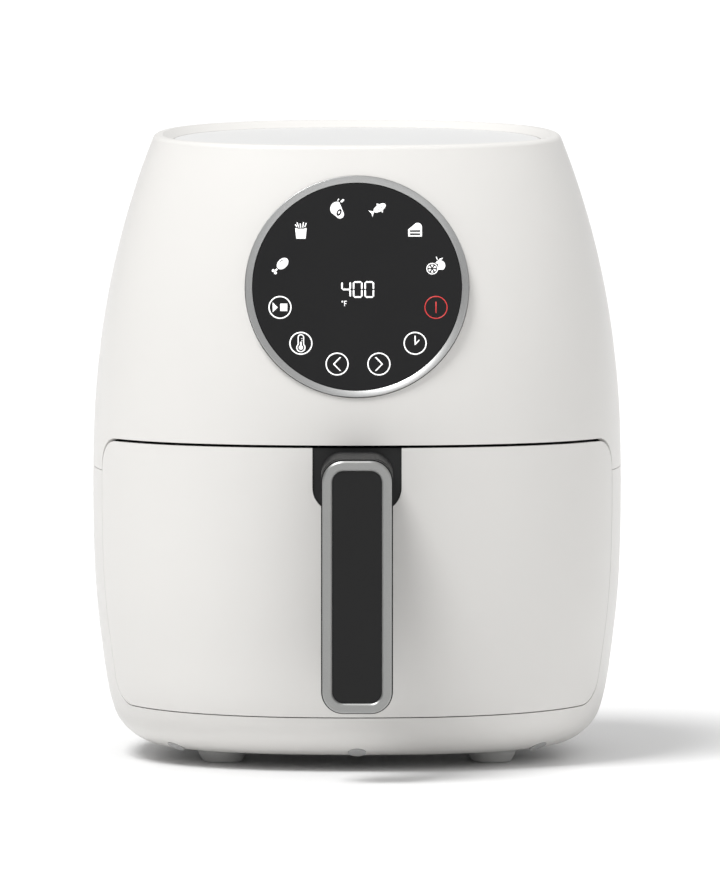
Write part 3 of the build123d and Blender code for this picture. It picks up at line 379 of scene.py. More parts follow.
# %% non-stick finishes
def nonstick(name, colour, roughness):
    """Speckled non-stick coating."""
    finish = Finish(name, Metallic=0.2, Specular_IOR_Level=0.5)
    specks = 1 - finish.cells(520.0).over(0.16, 0.03)
    film = finish.noise(420.0, 2.0)
    ground = finish.between(finish.noise(15.0), shade(colour, 0.85), shade(colour, 1.25))
    finish.set("Base Color", finish.between(specks, ground, (0.16, 0.16, 0.165, 1)))
    finish.set("Roughness", roughness + film * 0.12)
    finish.bump(film, 0.00004, 0.5)
    FINISHES[name] = finish.material


nonstick("nonstick_pan", (0.022, 0.022, 0.024), 0.36)
nonstick("nonstick_tray", (0.024, 0.024, 0.026), 0.34)

# %% [markdown]
# ## Circuit board
#
# A board is green solder resist over copper: where the tracks run, the resist looks
# lighter. Straight bands of a sawtooth, cut by a noise, pass for tracks at this size.


# %% circuit board finish
def circuit_board(name):
    """Green resist over copper tracks."""
    finish = Finish(name, Specular_IOR_Level=0.5)
    values = {"Vector": finish.place, "Scale": 160.0, "Distortion": 1.2}
    tracks = finish.wires.node("ShaderNodeTexWave", {"wave_profile": "SAW"}, values).over(0.72, 0.05)
    islands = finish.noise(120.0, 1.0).over(0.5, 0.03)
    copper = tracks * islands
    finish.set("Base Color", finish.between(copper, (0.012, 0.11, 0.045, 1), (0.05, 0.24, 0.1, 1)))
    finish.set("Roughness", 0.28 + copper * 0.15)
    finish.bump(copper, 0.00003, 0.6)
    FINISHES[name] = finish.material


circuit_board("circuit_board")
missing = sorted(set(SLOT_OF.values()) - set(FINISHES))
print("finishes:", len(FINISHES), "missing:", missing)

# %% [markdown]
# ## Dressing the frame's own nodes
#
# Every node of the frame keeps its mesh. Only its material changes, looked up by the
# slot that the record gives it, so the same table serves every part.


# %% give each node its finish
for name, node in NODES.items():
    node.data.materials.clear()
    node.data.materials.append(FINISHES[SLOT_OF[name]])
print("dressed", len(NODES), "nodes")

# %% [markdown]
# ## Where the panel lies
#
# The touch panel is a flat disc leaning back in the curved front. Rather than type its
# angle again, this cell reads it from the frame: the largest flat face of the window
# gives its normal, and the box gives its middle. One matrix then carries anything drawn
# flat, in millimetres, onto the real window.


# %% the panel's own plane
def flat_plane(node):
    """Matrix that lays millimetre drawings on a thin disc's front face."""
    mesh = NODES[node].data
    face = max(mesh.polygons, key=lambda polygon: polygon.area)
    normal = face.normal if face.normal.y < 0 else -face.normal
    low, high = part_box(node)
    middle = (low + high) / 2
    front = max((vertex.co - middle).dot(normal) for vertex in mesh.vertices)
    across = Vector((1, 0, 0))
    up = normal.cross(across)
    turn = Matrix((across, up, normal)).transposed().to_4x4()
    return Matrix.Translation(middle + normal * front) @ turn @ Matrix.Scale(MM, 4)


WINDOW = flat_plane("panel_lens")
RING_OUTER = (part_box("panel_bezel")[1].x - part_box("panel_bezel")[0].x) / 2 / MM
WINDOW_RADIUS = (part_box("panel_lens")[1].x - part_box("panel_lens")[0].x) / 2 / MM
print("window radius", round(WINDOW_RADIUS, 1), "ring radius", round(RING_OUTER, 1))

# %% [markdown]
# ## Turned rings
#
# A ring is a profile carried round an axis. Doing it by hand with rows of points gives
# clean four-sided faces all the way round, and closing the profile closes the ring, so
# there is no seam to mend. The helper makes the panel's ring.


# %% turning a profile
def new_piece(name, mesh, finish, body, sharp=35.0):
    """Link a mesh as a finished piece that rides on a body."""
    piece = bpy.data.objects.new(name, mesh)
    bpy.context.collection.objects.link(piece)
    if finish:
        mesh.materials.clear()
        mesh.materials.append(finish)
    for polygon in mesh.polygons:
        polygon.use_smooth = True
    if sharp:
        mesh.set_sharp_from_angle(angle=math.radians(sharp))
    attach(piece, body)
    return piece


def turned(profile, steps, place):
    """Mesh of a closed profile of (radius, height) points carried round the height axis."""
    vertices = []
    faces = []
    count = len(profile)
    for step in range(steps):
        angle = 2 * math.pi * step / steps
        vertices += [place @ Vector((r * math.cos(angle), r * math.sin(angle), h)) for r, h in profile]
        after = (step + 1) % steps
        for k in range(count):
            m = (k + 1) % count
            faces.append((step * count + k, after * count + k, after * count + m, step * count + m))
    mesh = bpy.data.meshes.new("turned")
    mesh.from_pydata(vertices, [], faces)
    outward(mesh)
    return mesh


def outward(mesh):
    """Turn every face of a closed mesh to point out."""
    work = bmesh.new()
    work.from_mesh(mesh)
    bmesh.ops.remove_doubles(work, verts=work.verts, dist=1e-7)
    bmesh.ops.recalc_face_normals(work, faces=work.faces)
    work.to_mesh(mesh)
    work.free()


def arc(centre, radius, start, end, steps):
    """Points of an arc, in degrees, both ends included."""
    points = []
    for step in range(steps + 1):
        angle = math.radians(start + (end - start) * step / steps)
        points.append((centre[0] + radius * math.cos(angle), centre[1] + radius * math.sin(angle)))
    return points


# %% [markdown]
# ### The panel's ring
#
# The silver ring is dished: its face slopes in toward the window, so its lower right
# side looks up at the light and shines while the upper side stays grey. Small rounds run
# along both edges. Sloping the face in geometry is what makes that changing light; paint
# alone could not.

# %% the ring
RING_FOOT = -5.5
INNER_LEVEL = 0.1
OUTER_LEVEL = 1.0
EDGE_ROUND = 0.3
BAND_INNER = WINDOW_RADIUS + 0.3
ring_profile = [(RING_OUTER, RING_FOOT)]
ring_profile += arc((RING_OUTER - EDGE_ROUND, OUTER_LEVEL - EDGE_ROUND), EDGE_ROUND, 0, 108, 6)
ring_profile += arc((BAND_INNER + EDGE_ROUND, INNER_LEVEL - EDGE_ROUND), EDGE_ROUND, 108, 180, 4)
ring_profile += [(BAND_INNER, RING_FOOT)]
ring = new_piece("panel_ring", turned(ring_profile, 180, WINDOW), FINISHES["satin_silver"], "housing")
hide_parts("panel_bezel")
print("ring", len(ring.data.polygons), "faces")

# %% [markdown]
# ## The printed keys
#
# The keys are a flat print on the back of the window, lit from behind. Each symbol is a
# closed outline filled in two dimensions; an outline inside another makes a hole, so a
# circle with a smaller circle inside is a drawn line. Curves do this filling by
# themselves, which is simpler than cutting meshes, and the result is a thin sheet of
# print. The symbols are plain ones of our own: foods along the top, settings below.


# %% outlines for flat symbols
def circle(x, y, radius, steps=40):
    """Outline of a circle."""
    return arc((x, y), radius, 0, 360 * (steps - 1) / steps, steps - 1)


def oval(x, y, long, short, tilt, steps=32):
    """Outline of an ellipse with its long half axis tilted by degrees."""
    return turn_about([(long * px, short * py) for px, py in circle(0, 0, 1, steps)], tilt, x, y)


def turn_about(points, tilt, x=0.0, y=0.0):
    """Points turned by degrees, then shifted."""
    c, s = math.cos(math.radians(tilt)), math.sin(math.radians(tilt))
    return [(x + px * c - py * s, y + px * s + py * c) for px, py in points]


def bar(x1, y1, x2, y2, width):
    """Outline of a straight line of a width."""
    along = Vector((x2 - x1, y2 - y1)).normalized() * width / 2
    side = Vector((-along.y, along.x))
    near = [(x1 + side.x, y1 + side.y), (x1 - side.x, y1 - side.y)]
    return near + [(x2 - side.x, y2 - side.y), (x2 + side.x, y2 + side.y)]


def hook(direction, reach, rise, width):
    """Outline of an angle bracket pointing left (-1) or right (1)."""
    thick = width * math.hypot(reach, rise) / rise
    points = [(-reach / 2, rise), (-reach / 2 + thick, rise), (reach / 2 + thick, 0)]
    points += [(-reach / 2 + thick, -rise), (-reach / 2, -rise), (reach / 2, 0)]
    return [(direction * (px - thick / 2), py) for px, py in points]


def bulb_tube(half_width, bulb, low, high):
    """Outline of a thermometer: a round-topped tube on a round bulb."""
    meet = math.degrees(math.acos(half_width / bulb))
    points = arc((0, high), half_width, 0, 180, 12)
    return points + arc((0, low), bulb, 180 - meet, 360 + meet, 24)


# %% [markdown]
# ### The keys
#
# Each key is a function that returns closed outlines around its own middle. Two outlines
# that overlap cancel each other, so solid parts are kept apart and holes lie wholly inside.

# %% one drawing for each key
STROKE = 0.62
KEY_RING = [circle(0, 0, 5.85), circle(0, 0, 5.85 - STROKE)]


def start_key():
    return KEY_RING + [
        [(-3.7, -2.5), (-1.1, 0.0), (-3.7, 2.5)],
        [(0.1, -1.9), (3.7, -1.9), (3.7, 1.9), (0.1, 1.9)],
    ]


def heat_key():
    marks = [bar(0.15, 2.4 - k * 1.1, 0.85, 2.4 - k * 1.1, 0.3) for k in range(2)]
    glass = [bulb_tube(1.65, 2.35, -2.2, 3.0), bulb_tube(1.12, 1.8, -2.2, 3.0)]
    return KEY_RING + glass + [bulb_tube(0.42, 1.1, -2.2, 0.4)] + marks


def less_key():
    return KEY_RING + [hook(-1, 3.4, 3.5, STROKE)]


def more_key():
    return KEY_RING + [hook(1, 3.4, 3.5, STROKE)]


def time_key():
    return KEY_RING + [[(-0.3, -0.9), (0.3, -0.7), (2.3, 1.5), (1.9, 1.9), (0.3, 0.3), (0.3, 3.9), (-0.3, 3.9)]]


def fruit_key():
    slices = []
    for k in range(6):
        wedge = [(0.45, 0.3)] + arc((0, 0), 2.05, 12, 48, 6)
        slices.append(turn_about(wedge, 60 * k, -1.9, -1.4))
    apple = arc((2.0, 0.2), 2.7, -118, 152, 24) + [(0.9, 1.1), (1.3, -0.4), (1.1, -1.6)]
    leaf = [(1.2, 3.1), (1.9, 3.7), (3.6, 4.3), (3.0, 3.3), (1.9, 3.0)]
    stalk = [(1.0, 3.0), (0.3, 4.8), (-0.1, 4.6), (0.6, 2.9)]
    return [circle(-1.9, -1.4, 2.95), circle(-1.9, -1.4, 2.5)] + slices + [apple, leaf, stalk]


def cake_key():
    slice_of_cake = [(-3.5, -3.3), (3.5, -3.3), (3.5, 0.6)] + arc((1.3, 1.5), 2.2, 5, 115, 8) + [(-3.5, 0.3)]
    layers = [bar(-2.6, -0.5, 2.6, -0.5, 0.95), bar(-2.6, -2.1, 2.6, -2.1, 0.95)]
    return [slice_of_cake] + layers


def fish_key():
    flank = oval(0.7, 0.4, 3.5, 1.75, 0)
    stripes = [bar(-0.3 + k * 0.9, -0.7, -0.1 + k * 0.9, 1.3, 0.26) for k in range(3)]
    eye = circle(3.1, 0.8, 0.28, 12)
    tail = [(-2.9, 0.6), (-4.9, 2.4), (-4.3, 0.3), (-4.9, -1.7), (-2.9, 0.0)]
    fins = [[(0.0, 2.3), (1.6, 2.35), (0.6, 3.1)], [(0.4, -1.55), (1.6, -1.5), (0.6, -2.5)]]
    return [turn_about(shape, 32) for shape in [flank, eye, tail] + stripes + fins]


def roast_key():
    joint = arc((0.1, 0.3), 3.6, 75, 215, 16) + arc((1.4, -2.6), 2.1, 215, 375, 12)
    cut = oval(1.0, -1.6, 1.9, 1.15, 62)
    bone = oval(1.0, -1.5, 0.85, 0.4, 62, 20)
    shank = [(1.5, 3.9), (2.9, 5.3), (3.7, 4.9), (3.2, 4.2), (2.4, 3.4)]
    return [joint, cut, bone, shank, bar(0.2, 4.4, 0.9, 5.4, 0.5)]


def fries_key():
    cup = [(-2.9, 1.1), (-1.4, 0.65), (1.4, 0.65), (2.9, 1.1), (2.4, -4.4), (-2.4, -4.4)]
    sticks = [bar(-2.0, 1.5, -2.8, 2.9, 0.55), bar(-1.0, 1.2, -2.0, 3.9, 0.55), bar(-0.1, 1.1, -0.4, 3.4, 0.55)]
    sticks += [bar(0.9, 1.2, 1.3, 4.0, 0.55), bar(1.9, 1.5, 2.7, 3.6, 0.55)]
    return [cup] + sticks


def drumstick_key():
    meat = oval(1.3, 1.2, 3.4, 2.4, 45)
    shine = oval(0.7, 2.6, 1.0, 0.25, 32, 16)
    bone = [bar(-0.2, 0, -1.5, 0, 0.9), circle(-2.3, 0.8, 0.75, 20), circle(-2.3, -0.8, 0.75, 20)]
    return [meat, shine] + [turn_about(shape, 45, -1.25, -1.35) for shape in bone]


def power_key():
    return [circle(0, 0, 5.85), circle(0, 0, 5.85 - 0.5), bar(0, -2.9, 0, 2.9, 0.6)]


# %% [markdown]
# ### The figures
#
# A seven-segment figure is seven bars with mitred ends, numbered by which are lit. One
# function places a bar by its two ends, and a short table says which bars make a 4 and
# which make a 0, so any other temperature would be as easy.

# %% seven-segment figures
FIGURE_WIDTH = 5.0
FIGURE_HEIGHT = 8.5
SEGMENT = 0.85
FIGURE_PITCH = 5.85
LIT = {"4": "bcfg", "0": "abcdef"}


def segment(x1, y1, x2, y2):
    """Outline of one lit bar with mitred ends."""
    along = Vector((x2 - x1, y2 - y1))
    along.normalize()
    cut = along * SEGMENT * 0.42
    side = Vector((-along.y, along.x)) * SEGMENT / 2
    start, end = Vector((x1, y1)) + along * 0.12, Vector((x2, y2)) - along * 0.12
    ring_of_points = [start, start + cut + side, end - cut + side, end, end - cut - side, start + cut - side]
    return [(p.x, p.y) for p in ring_of_points]


def figure(digit, x, y):
    """The lit bars of one figure centred at x, y."""
    w, h = (FIGURE_WIDTH - SEGMENT) / 2, (FIGURE_HEIGHT - SEGMENT) / 2
    bars = {"a": (-w, h, w, h), "b": (w, h, w, 0), "c": (w, 0, w, -h), "d": (w, -h, -w, -h)}
    bars |= {"e": (-w, -h, -w, 0), "f": (-w, 0, -w, h), "g": (-w, 0, w, 0)}
    lit = [segment(*bars[name]) for name in LIT[digit]]
    return [[(px + x, py + y) for px, py in outline] for outline in lit]


# %% [markdown]
# ### Printing
#
# A flat curve fills closed outlines by itself, so each set of symbols becomes one thin
# sheet just above the window. Keys like these are lit from behind, so the ink glows a little.

# %% printing flat outlines onto the window
def printed(name, outlines, lift, finish):
    """A thin printed sheet filled from closed outlines, laid on the window."""
    drawing = bpy.data.curves.new(name, "CURVE")
    drawing.dimensions = "2D"
    drawing.fill_mode = "BOTH"
    drawing.extrude = 0.01
    for outline in outlines:
        spline = drawing.splines.new("POLY")
        spline.points.add(len(outline) - 1)
        for point, (x, y) in zip(spline.points, outline):
            point.co = (x, y, 0, 1)
        spline.use_cyclic_u = True
    holder = bpy.data.objects.new(name, drawing)
    bpy.context.collection.objects.link(holder)
    shape = bpy.data.meshes.new_from_object(holder.evaluated_get(bpy.context.evaluated_depsgraph_get()))
    bpy.data.objects.remove(holder)
    shape.transform(WINDOW @ Matrix.Translation((0, 0, lift)))
    outward(shape)
    return new_piece(name, shape, finish, "housing", sharp=None)


def lit_ink(name, colour, glow):
    """Backlit print: a colour that also gives off a little of its own light."""
    finish = Finish(name, Emission_Strength=glow)
    unevenness = finish.noise(300.0, 2.0)
    tint = finish.between(unevenness, shade(colour, 0.94), shade(colour, 1.0))
    finish.set("Base Color", tint)
    finish.set("Emission Color", tint)
    finish.set("Roughness", 0.4 + unevenness * 0.1)
    return finish.material


KEY_CIRCLE = 40.8
PRINT_SHIFT = 0.5
INK_LIFT = 0.03
WHITE_KEYS = [fruit_key, cake_key, fish_key, roast_key, fries_key, drumstick_key]
WHITE_KEYS += [start_key, heat_key, less_key, more_key, time_key]
white_ink = lit_ink("white_ink", (0.95, 0.95, 0.95), 0.55)
red_ink = lit_ink("red_ink", (0.6, 0.035, 0.035), 0.25)


def on_key_circle(outlines, degrees):
    """Outlines moved out to a key's place on the circle."""
    angle = math.radians(degrees)
    x, y = PRINT_SHIFT + KEY_CIRCLE * math.cos(angle), KEY_CIRCLE * math.sin(angle)
    return [[(px + x, py + y) for px, py in outline] for outline in outlines]


white_outlines = []
for place, draw in enumerate(WHITE_KEYS):
    white_outlines += on_key_circle(draw(), 15 + 30 * place)
printed("key_print", white_outlines, INK_LIFT, white_ink)
red_outlines = on_key_circle(power_key(), -15)
printed("power_print", red_outlines, INK_LIFT, red_ink)

FIGURES_AT = (0.35, -1.45)
figure_outlines = []
for place, digit in enumerate("400"):
    figure_outlines += figure(digit, FIGURES_AT[0] + (place - 1) * FIGURE_PITCH, FIGURES_AT[1])
unit_x, unit_y = -6.5, -8.6
unit = [circle(unit_x - 0.95, unit_y + 0.95, 0.48, 20), circle(unit_x - 0.95, unit_y + 0.95, 0.24, 20)]
letter = [(0, -1.3), (0.4, -1.3), (0.4, -0.2), (1.2, -0.2), (1.2, 0.2), (0.4, 0.2)]
letter += [(0.4, 1.0), (1.4, 1.0), (1.4, 1.4), (0, 1.4)]
unit += [[(unit_x + px, unit_y + py) for px, py in letter]]
printed("figures", figure_outlines + unit, INK_LIFT, white_ink)
print("printed", len(white_outlines), "white,", len(red_outlines), "red and", len(figure_outlines), "figure outlines")

# %% [markdown]
# ## Growing pieces from a rule
#
# Screws, springs, fan blades and guard wires all repeat one shape. Geometry Nodes say the
# rule once: sizes come in as named inputs, the shape is built and repeated, copies are
# made real, and a material is set. The result is then frozen into a plain mesh. Where
# each copy goes is read from the frame, by splitting a node into its separate solids.


# %% splitting a node into its solids
def solids_of(node, place):
    """Boxes of a node's separate solids, in millimetres along the axes of a place."""
    work = bmesh.new()
    work.from_mesh(NODES[node].data)
    bmesh.ops.remove_doubles(work, verts=work.verts, dist=1e-6)
    work.transform(place.inverted())
    waiting = set(work.verts)
    boxes = []
    while waiting:
        group = [waiting.pop()]
        for vertex in group:
            near = {edge.other_vert(vertex) for edge in vertex.link_edges} & waiting
            waiting -= near
            group.extend(near)
        xs, ys, zs = zip(*[vertex.co for vertex in group])
        boxes.append((Vector((min(xs), min(ys), min(zs))), Vector((max(xs), max(ys), max(zs)))))
    work.free()
    return boxes


def facing(turn):
    """A place whose own Z axis is turned about X by degrees, in millimetres."""
    return Matrix.Rotation(math.radians(turn), 4, "X") @ Matrix.Scale(MM, 4)


print("springs found:", len(solids_of("touch_springs", WINDOW)))


# %% [markdown]
# ### Running a tree once
#
# A tree is built, given its sizes, run once and frozen into a plain mesh. The piece then
# no longer depends on the tree.

# %% running a tree once
def grown(name, sizes, build, finish, place, body, stands_for, start=None):
    """Build a tree with named sizes, freeze what it makes and ride it on a body."""
    tree = bpy.data.node_groups.new(name, "GeometryNodeTree")
    tree.interface.new_socket("Geometry", in_out="INPUT", socket_type="NodeSocketGeometry")
    tree.interface.new_socket("Geometry", in_out="OUTPUT", socket_type="NodeSocketGeometry")
    for label, size in sizes.items():
        kind = "NodeSocketInt" if isinstance(size, int) else "NodeSocketFloat"
        tree.interface.new_socket(label, in_out="INPUT", socket_type=kind)
    entry = tree.nodes.new("NodeGroupInput")
    wires = {socket.name: Wire(tree, socket) for socket in entry.outputs if socket.name}
    shape = build(Wire(tree), wires)
    real = shape.node("GeometryNodeRealizeInstances", None, {"Geometry": shape})
    dressed = real.node("GeometryNodeSetMaterial", None, {"Geometry": real, "Material": finish})
    tree.links.new(dressed.socket, tree.nodes.new("NodeGroupOutput").inputs[0])
    base = start or bpy.data.meshes.new(name)
    holder = bpy.data.objects.new(name, base)
    bpy.context.collection.objects.link(holder)
    modifier = holder.modifiers.new(name, "NODES")
    modifier.node_group = tree
    for item in tree.interface.items_tree:
        if item.in_out == "INPUT" and item.name in sizes:
            modifier[item.identifier] = sizes[item.name]
    holder.update_tag()
    mesh = bpy.data.meshes.new_from_object(holder.evaluated_get(bpy.context.evaluated_depsgraph_get()))
    bpy.data.objects.remove(holder)
    mesh.transform(place)
    outward(mesh)
    piece = new_piece(name, mesh, finish, body)
    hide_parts(stands_for)
    print(name, len(mesh.polygons), "faces")
    return piece


def joined(first, *others):
    """Several geometries as one."""
    node = first.tree.nodes.new("GeometryNodeJoinGeometry")
    for wire in (first,) + others:
        first.tree.links.new(wire.socket, node.inputs[0])
    return Wire(first.tree, node.outputs[0])


def spots(name, points):
    """A mesh that is only points, for a tree to stand copies on."""
    mesh = bpy.data.meshes.new(name)
    mesh.from_pydata(points, [], [])
    return mesh


# %% [markdown]
# ### Screws
#
# A cross-head screw is a low cylinder with a cross cut into it, on a thinner shank. A
# Mesh Boolean cuts the cross, and Instance on Points stands the screw on every seat. The
# same tree makes the base, panel and handle screws: only the sizes and the way they face
# change.


# %% the screw tree
def screw_rule(tree, size):
    head = tree.node(
        "GeometryNodeMeshCylinder", None,
        {"Vertices": 32, "Radius": size["Head radius"], "Depth": size["Head height"]},
    )
    lifted = tree.node("ShaderNodeCombineXYZ", None, {"Z": size["Head height"] / 2})
    head = tree.node("GeometryNodeTransform", None, {"Geometry": head, "Translation": lifted})
    long = tree.node(
        "ShaderNodeCombineXYZ", None,
        {"X": size["Head radius"] * 1.2, "Y": size["Head radius"] * 0.28, "Z": size["Head height"]},
    )
    arm = tree.node("GeometryNodeMeshCube", None, {"Size": long})
    other = tree.node("GeometryNodeTransform", None, {"Geometry": arm, "Rotation": (0, 0, math.pi / 2)})
    cross_top = tree.node("ShaderNodeCombineXYZ", None, {"Z": size["Head height"] * 1.05})
    cross = tree.node("GeometryNodeTransform", None, {"Geometry": joined(arm, other), "Translation": cross_top})
    cut = tree.node("GeometryNodeMeshBoolean", {"operation": "DIFFERENCE"}, {"Mesh 1": head, "Mesh 2": cross})
    shank = tree.node(
        "GeometryNodeMeshCylinder", None,
        {"Vertices": 20, "Radius": size["Shank radius"], "Depth": size["Shank length"]},
    )
    down = tree.node("ShaderNodeCombineXYZ", None, {"Z": size["Shank length"] * -0.5})
    shank = tree.node("GeometryNodeTransform", None, {"Geometry": shank, "Translation": down})
    values = {"Points": size["Geometry"], "Instance": joined(cut, shank)}
    return tree.node("GeometryNodeInstanceOnPoints", None, values)


def screws(node, place, head_height, shank_radius, body):
    """Stand a screw in the place of each of a node's solids."""
    boxes = solids_of(node, place)
    low, high = boxes[0]
    seats = [((a.x + b.x) / 2, (a.y + b.y) / 2, b.z - head_height) for a, b in boxes]
    sizes = {"Head radius": (high.x - low.x) / 2, "Head height": head_height}
    sizes |= {"Shank radius": shank_radius, "Shank length": high.z - head_height - low.z}
    name = node.replace("_screws", "_cross_screws")
    grown(name, sizes, screw_rule, FINISHES["screw_steel"], place, body, node, spots(name, seats))


screws("base_screws", facing(180), 2.0, 1.6, "housing")
screws("panel_screws", WINDOW, 1.8, 1.4, "housing")
screws("handle_screws", facing(-90), 2.4, 1.8, "drawer")

# %% [markdown]
# ### Touch springs
#
# Behind every key a small coil spring carries the finger's touch from the window to the
# board. A spiral of equal radii is a helix; swept with a little circle it becomes wire.


# %% the spring tree
def spring_rule(tree, size):
    radius = size["Coil radius"] - size["Wire radius"]
    height = size["Coil height"] - size["Wire radius"] * 2
    coil = {"Resolution": 20, "Rotations": 5.0, "Start Radius": radius, "End Radius": radius, "Height": height}
    helix = tree.node("GeometryNodeCurveSpiral", None, coil)
    round_wire = tree.node("GeometryNodeCurvePrimitiveCircle", None, {"Resolution": 8, "Radius": size["Wire radius"]})
    sweep = {"Curve": helix, "Profile Curve": round_wire, "Fill Caps": True}
    spring = tree.node("GeometryNodeCurveToMesh", None, sweep)
    lift = tree.node("ShaderNodeCombineXYZ", None, {"Z": size["Wire radius"]})
    spring = tree.node("GeometryNodeTransform", None, {"Geometry": spring, "Translation": lift})
    return tree.node("GeometryNodeInstanceOnPoints", None, {"Points": size["Geometry"], "Instance": spring})


spring_boxes = solids_of("touch_springs", WINDOW)
spring_low, spring_high = spring_boxes[0]
spring_feet = [((a.x + b.x) / 2, (a.y + b.y) / 2, a.z) for a, b in spring_boxes]
spring_sizes = {"Coil radius": (spring_high.x - spring_low.x) / 2, "Wire radius": 0.35}
spring_sizes |= {"Coil height": spring_high.z - spring_low.z}
spring_steel = FINISHES["spring_steel"]
coil_spots = spots("touch_coils", spring_feet)
grown("touch_coils", spring_sizes, spring_rule, spring_steel, WINDOW, "housing", "touch_springs", coil_spots)

# %% [markdown]
# ### The heater's guard
#
# The guard keeps food off the heater: four rings of round wire joined by straight spokes.
# The rings and spokes are curves until the last step, so one sweep rounds them all.

# %% the guard tree
GUARD_RADII = (22.0, 41.0, 60.0, 79.0)
guard_low, guard_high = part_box("heater_guard")
guard_middle = (guard_low + guard_high) / 2


def guard_rule(tree, size):
    wire = size["Wire radius"]
    rings = [
        tree.node("GeometryNodeCurvePrimitiveCircle", None, {"Resolution": 96, "Radius": r - wire})
        for r in GUARD_RADII
    ]
    spoke = tree.node(
        "GeometryNodeCurvePrimitiveLine", None,
        {"Start": (GUARD_RADII[0] - 0.8, 0, 0), "End": (GUARD_RADII[-1] - 0.8, 0, 0)},
    )
    fan_out = round_the_axis(tree, spoke, size["Spokes"])
    lines = joined(*rings, fan_out)
    round_wire = tree.node("GeometryNodeCurvePrimitiveCircle", None, {"Resolution": 10, "Radius": wire})
    return tree.node(
        "GeometryNodeCurveToMesh", None,
        {"Curve": lines, "Profile Curve": round_wire, "Fill Caps": True},
    )


def round_the_axis(tree, shape, count):
    """Copies of a shape turned evenly about Z, made real."""
    points = tree.node("GeometryNodeMeshLine", None, {"Count": count, "Offset": (0, 0, 0)})
    step = tree.node("GeometryNodeInputIndex") * (2 * math.pi) / count
    turn = tree.node("ShaderNodeCombineXYZ", None, {"Z": step})
    copies = tree.node("GeometryNodeInstanceOnPoints", None, {"Points": points, "Instance": shape, "Rotation": turn})
    return tree.node("GeometryNodeRealizeInstances", None, {"Geometry": copies})


guard_place = Matrix.Translation(guard_middle) @ Matrix.Scale(MM, 4)
guard_sizes = {"Wire radius": (guard_high.z - guard_low.z) / 2 / MM, "Spokes": 6}
grown("wire_guard", guard_sizes, guard_rule, FINISHES["guard_steel"], guard_place, "housing", "heater_guard")

# %% [markdown]
# ### Fan wheels
#
# Both fans are a disc with upright curved blades. A blade is a thin rectangle swept along
# a bend; leaning the bend the other way makes the cooling fan the hot fan's mirror, so
# one tree serves both.


# %% the fan tree
def fan_rule(tree, size):
    radius, tall, hub = size["Radius"], size["Blade height"], size["Hub radius"]
    begin = tree.node("ShaderNodeCombineXYZ", None, {"X": hub * 1.25})
    bend = tree.node("ShaderNodeCombineXYZ", None, {"X": radius * 0.62, "Y": size["Sweep"]})
    end = tree.node("ShaderNodeCombineXYZ", None, {"X": radius * 0.955, "Y": size["Sweep"] * 0.35})
    path = tree.node(
        "GeometryNodeCurveQuadraticBezier", None,
        {"Resolution": 12, "Start": begin, "Middle": bend, "End": end},
    )
    section = tree.node("GeometryNodeCurvePrimitiveQuadrilateral", None, {"Width": size["Sheet"], "Height": tall})
    blade = tree.node("GeometryNodeCurveToMesh", None, {"Curve": path, "Profile Curve": section, "Fill Caps": True})
    blades = round_the_axis(tree, blade, size["Blades"])
    disc = tree.node("GeometryNodeMeshCylinder", None, {"Vertices": 96, "Radius": radius, "Depth": size["Sheet"]})
    disc_down = tree.node("ShaderNodeCombineXYZ", None, {"Z": size["Disc level"]})
    disc = tree.node("GeometryNodeTransform", None, {"Geometry": disc, "Translation": disc_down})
    boss = tree.node("GeometryNodeMeshCylinder", None, {"Vertices": 48, "Radius": hub, "Depth": tall})
    return joined(blades, disc, boss)


def fan_wheel(name, node, blades, sweep, disc_side, finish):
    """A fan in the place of a node; disc_side is 1 with its disc on top, -1 below."""
    low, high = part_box(node)
    tall = (high.z - low.z) / MM
    sizes = {"Radius": (high.x - low.x) / 2 / MM, "Blade height": tall, "Hub radius": 8.0}
    sizes |= {"Sweep": sweep, "Sheet": 1.0}
    sizes |= {"Disc level": disc_side * (tall / 2 - 0.5), "Blades": blades}
    place = Matrix.Translation((low + high) / 2) @ Matrix.Scale(MM, 4)
    grown(name, sizes, fan_rule, FINISHES[finish], place, "fan", node)


fan_wheel("hot_fan", "convection_fan", 9, 16.0, 1, "fan_aluminium")
fan_wheel("cool_fan", "cooling_fan", 12, -16.0, -1, "fan_plastic")

# %% [markdown]
# ### The pan
#
# The pan is the main piece whose shape is a rule: every level of it is the same softened
# square, a power of an ellipse, drawn in by a little more as it goes down. Its section is
# drawn flat, as rows of drawn-in distance and height, once round the outside, over the
# rim and down the inside. The tree wraps the drawing round the rule. Rows that carry a
# smaller closing factor shrink to the middle and make the floor.

# %% the pan's section
pan_low, pan_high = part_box("pan")
PAN_RIM, SHEET, DRAFT, FLOOR_ROUND = 3.0, 1.2, 0.03, 16.0
pan_top, pan_base = pan_high.z / MM, pan_low.z / MM


def wall_row(inset, height):
    """A wall row: draws in with the draft as it goes down."""
    return (inset + DRAFT * (pan_top - height), height, 1.0)


def floor_rows(inset):
    """Corner and floor rows of one skin of the pan, from the middle outwards."""
    radius = FLOOR_ROUND - inset
    centre = pan_base + FLOOR_ROUND
    turns = [math.radians(k * 10) for k in range(10)]
    corner = [wall_row(inset + radius * (1 - math.sin(a)), centre - radius * math.cos(a)) for a in turns]
    edge = corner[0]
    floor = [(edge[0], edge[1], 0.0), (edge[0], edge[1], 0.3)]
    for closing, lift in ((0.42, 0.0), (0.44, 0.7), (0.5, 0.7), (0.52, 0.0), (0.8, 0.0)):
        floor.append((edge[0], edge[1] + lift, closing))
    return floor + corner


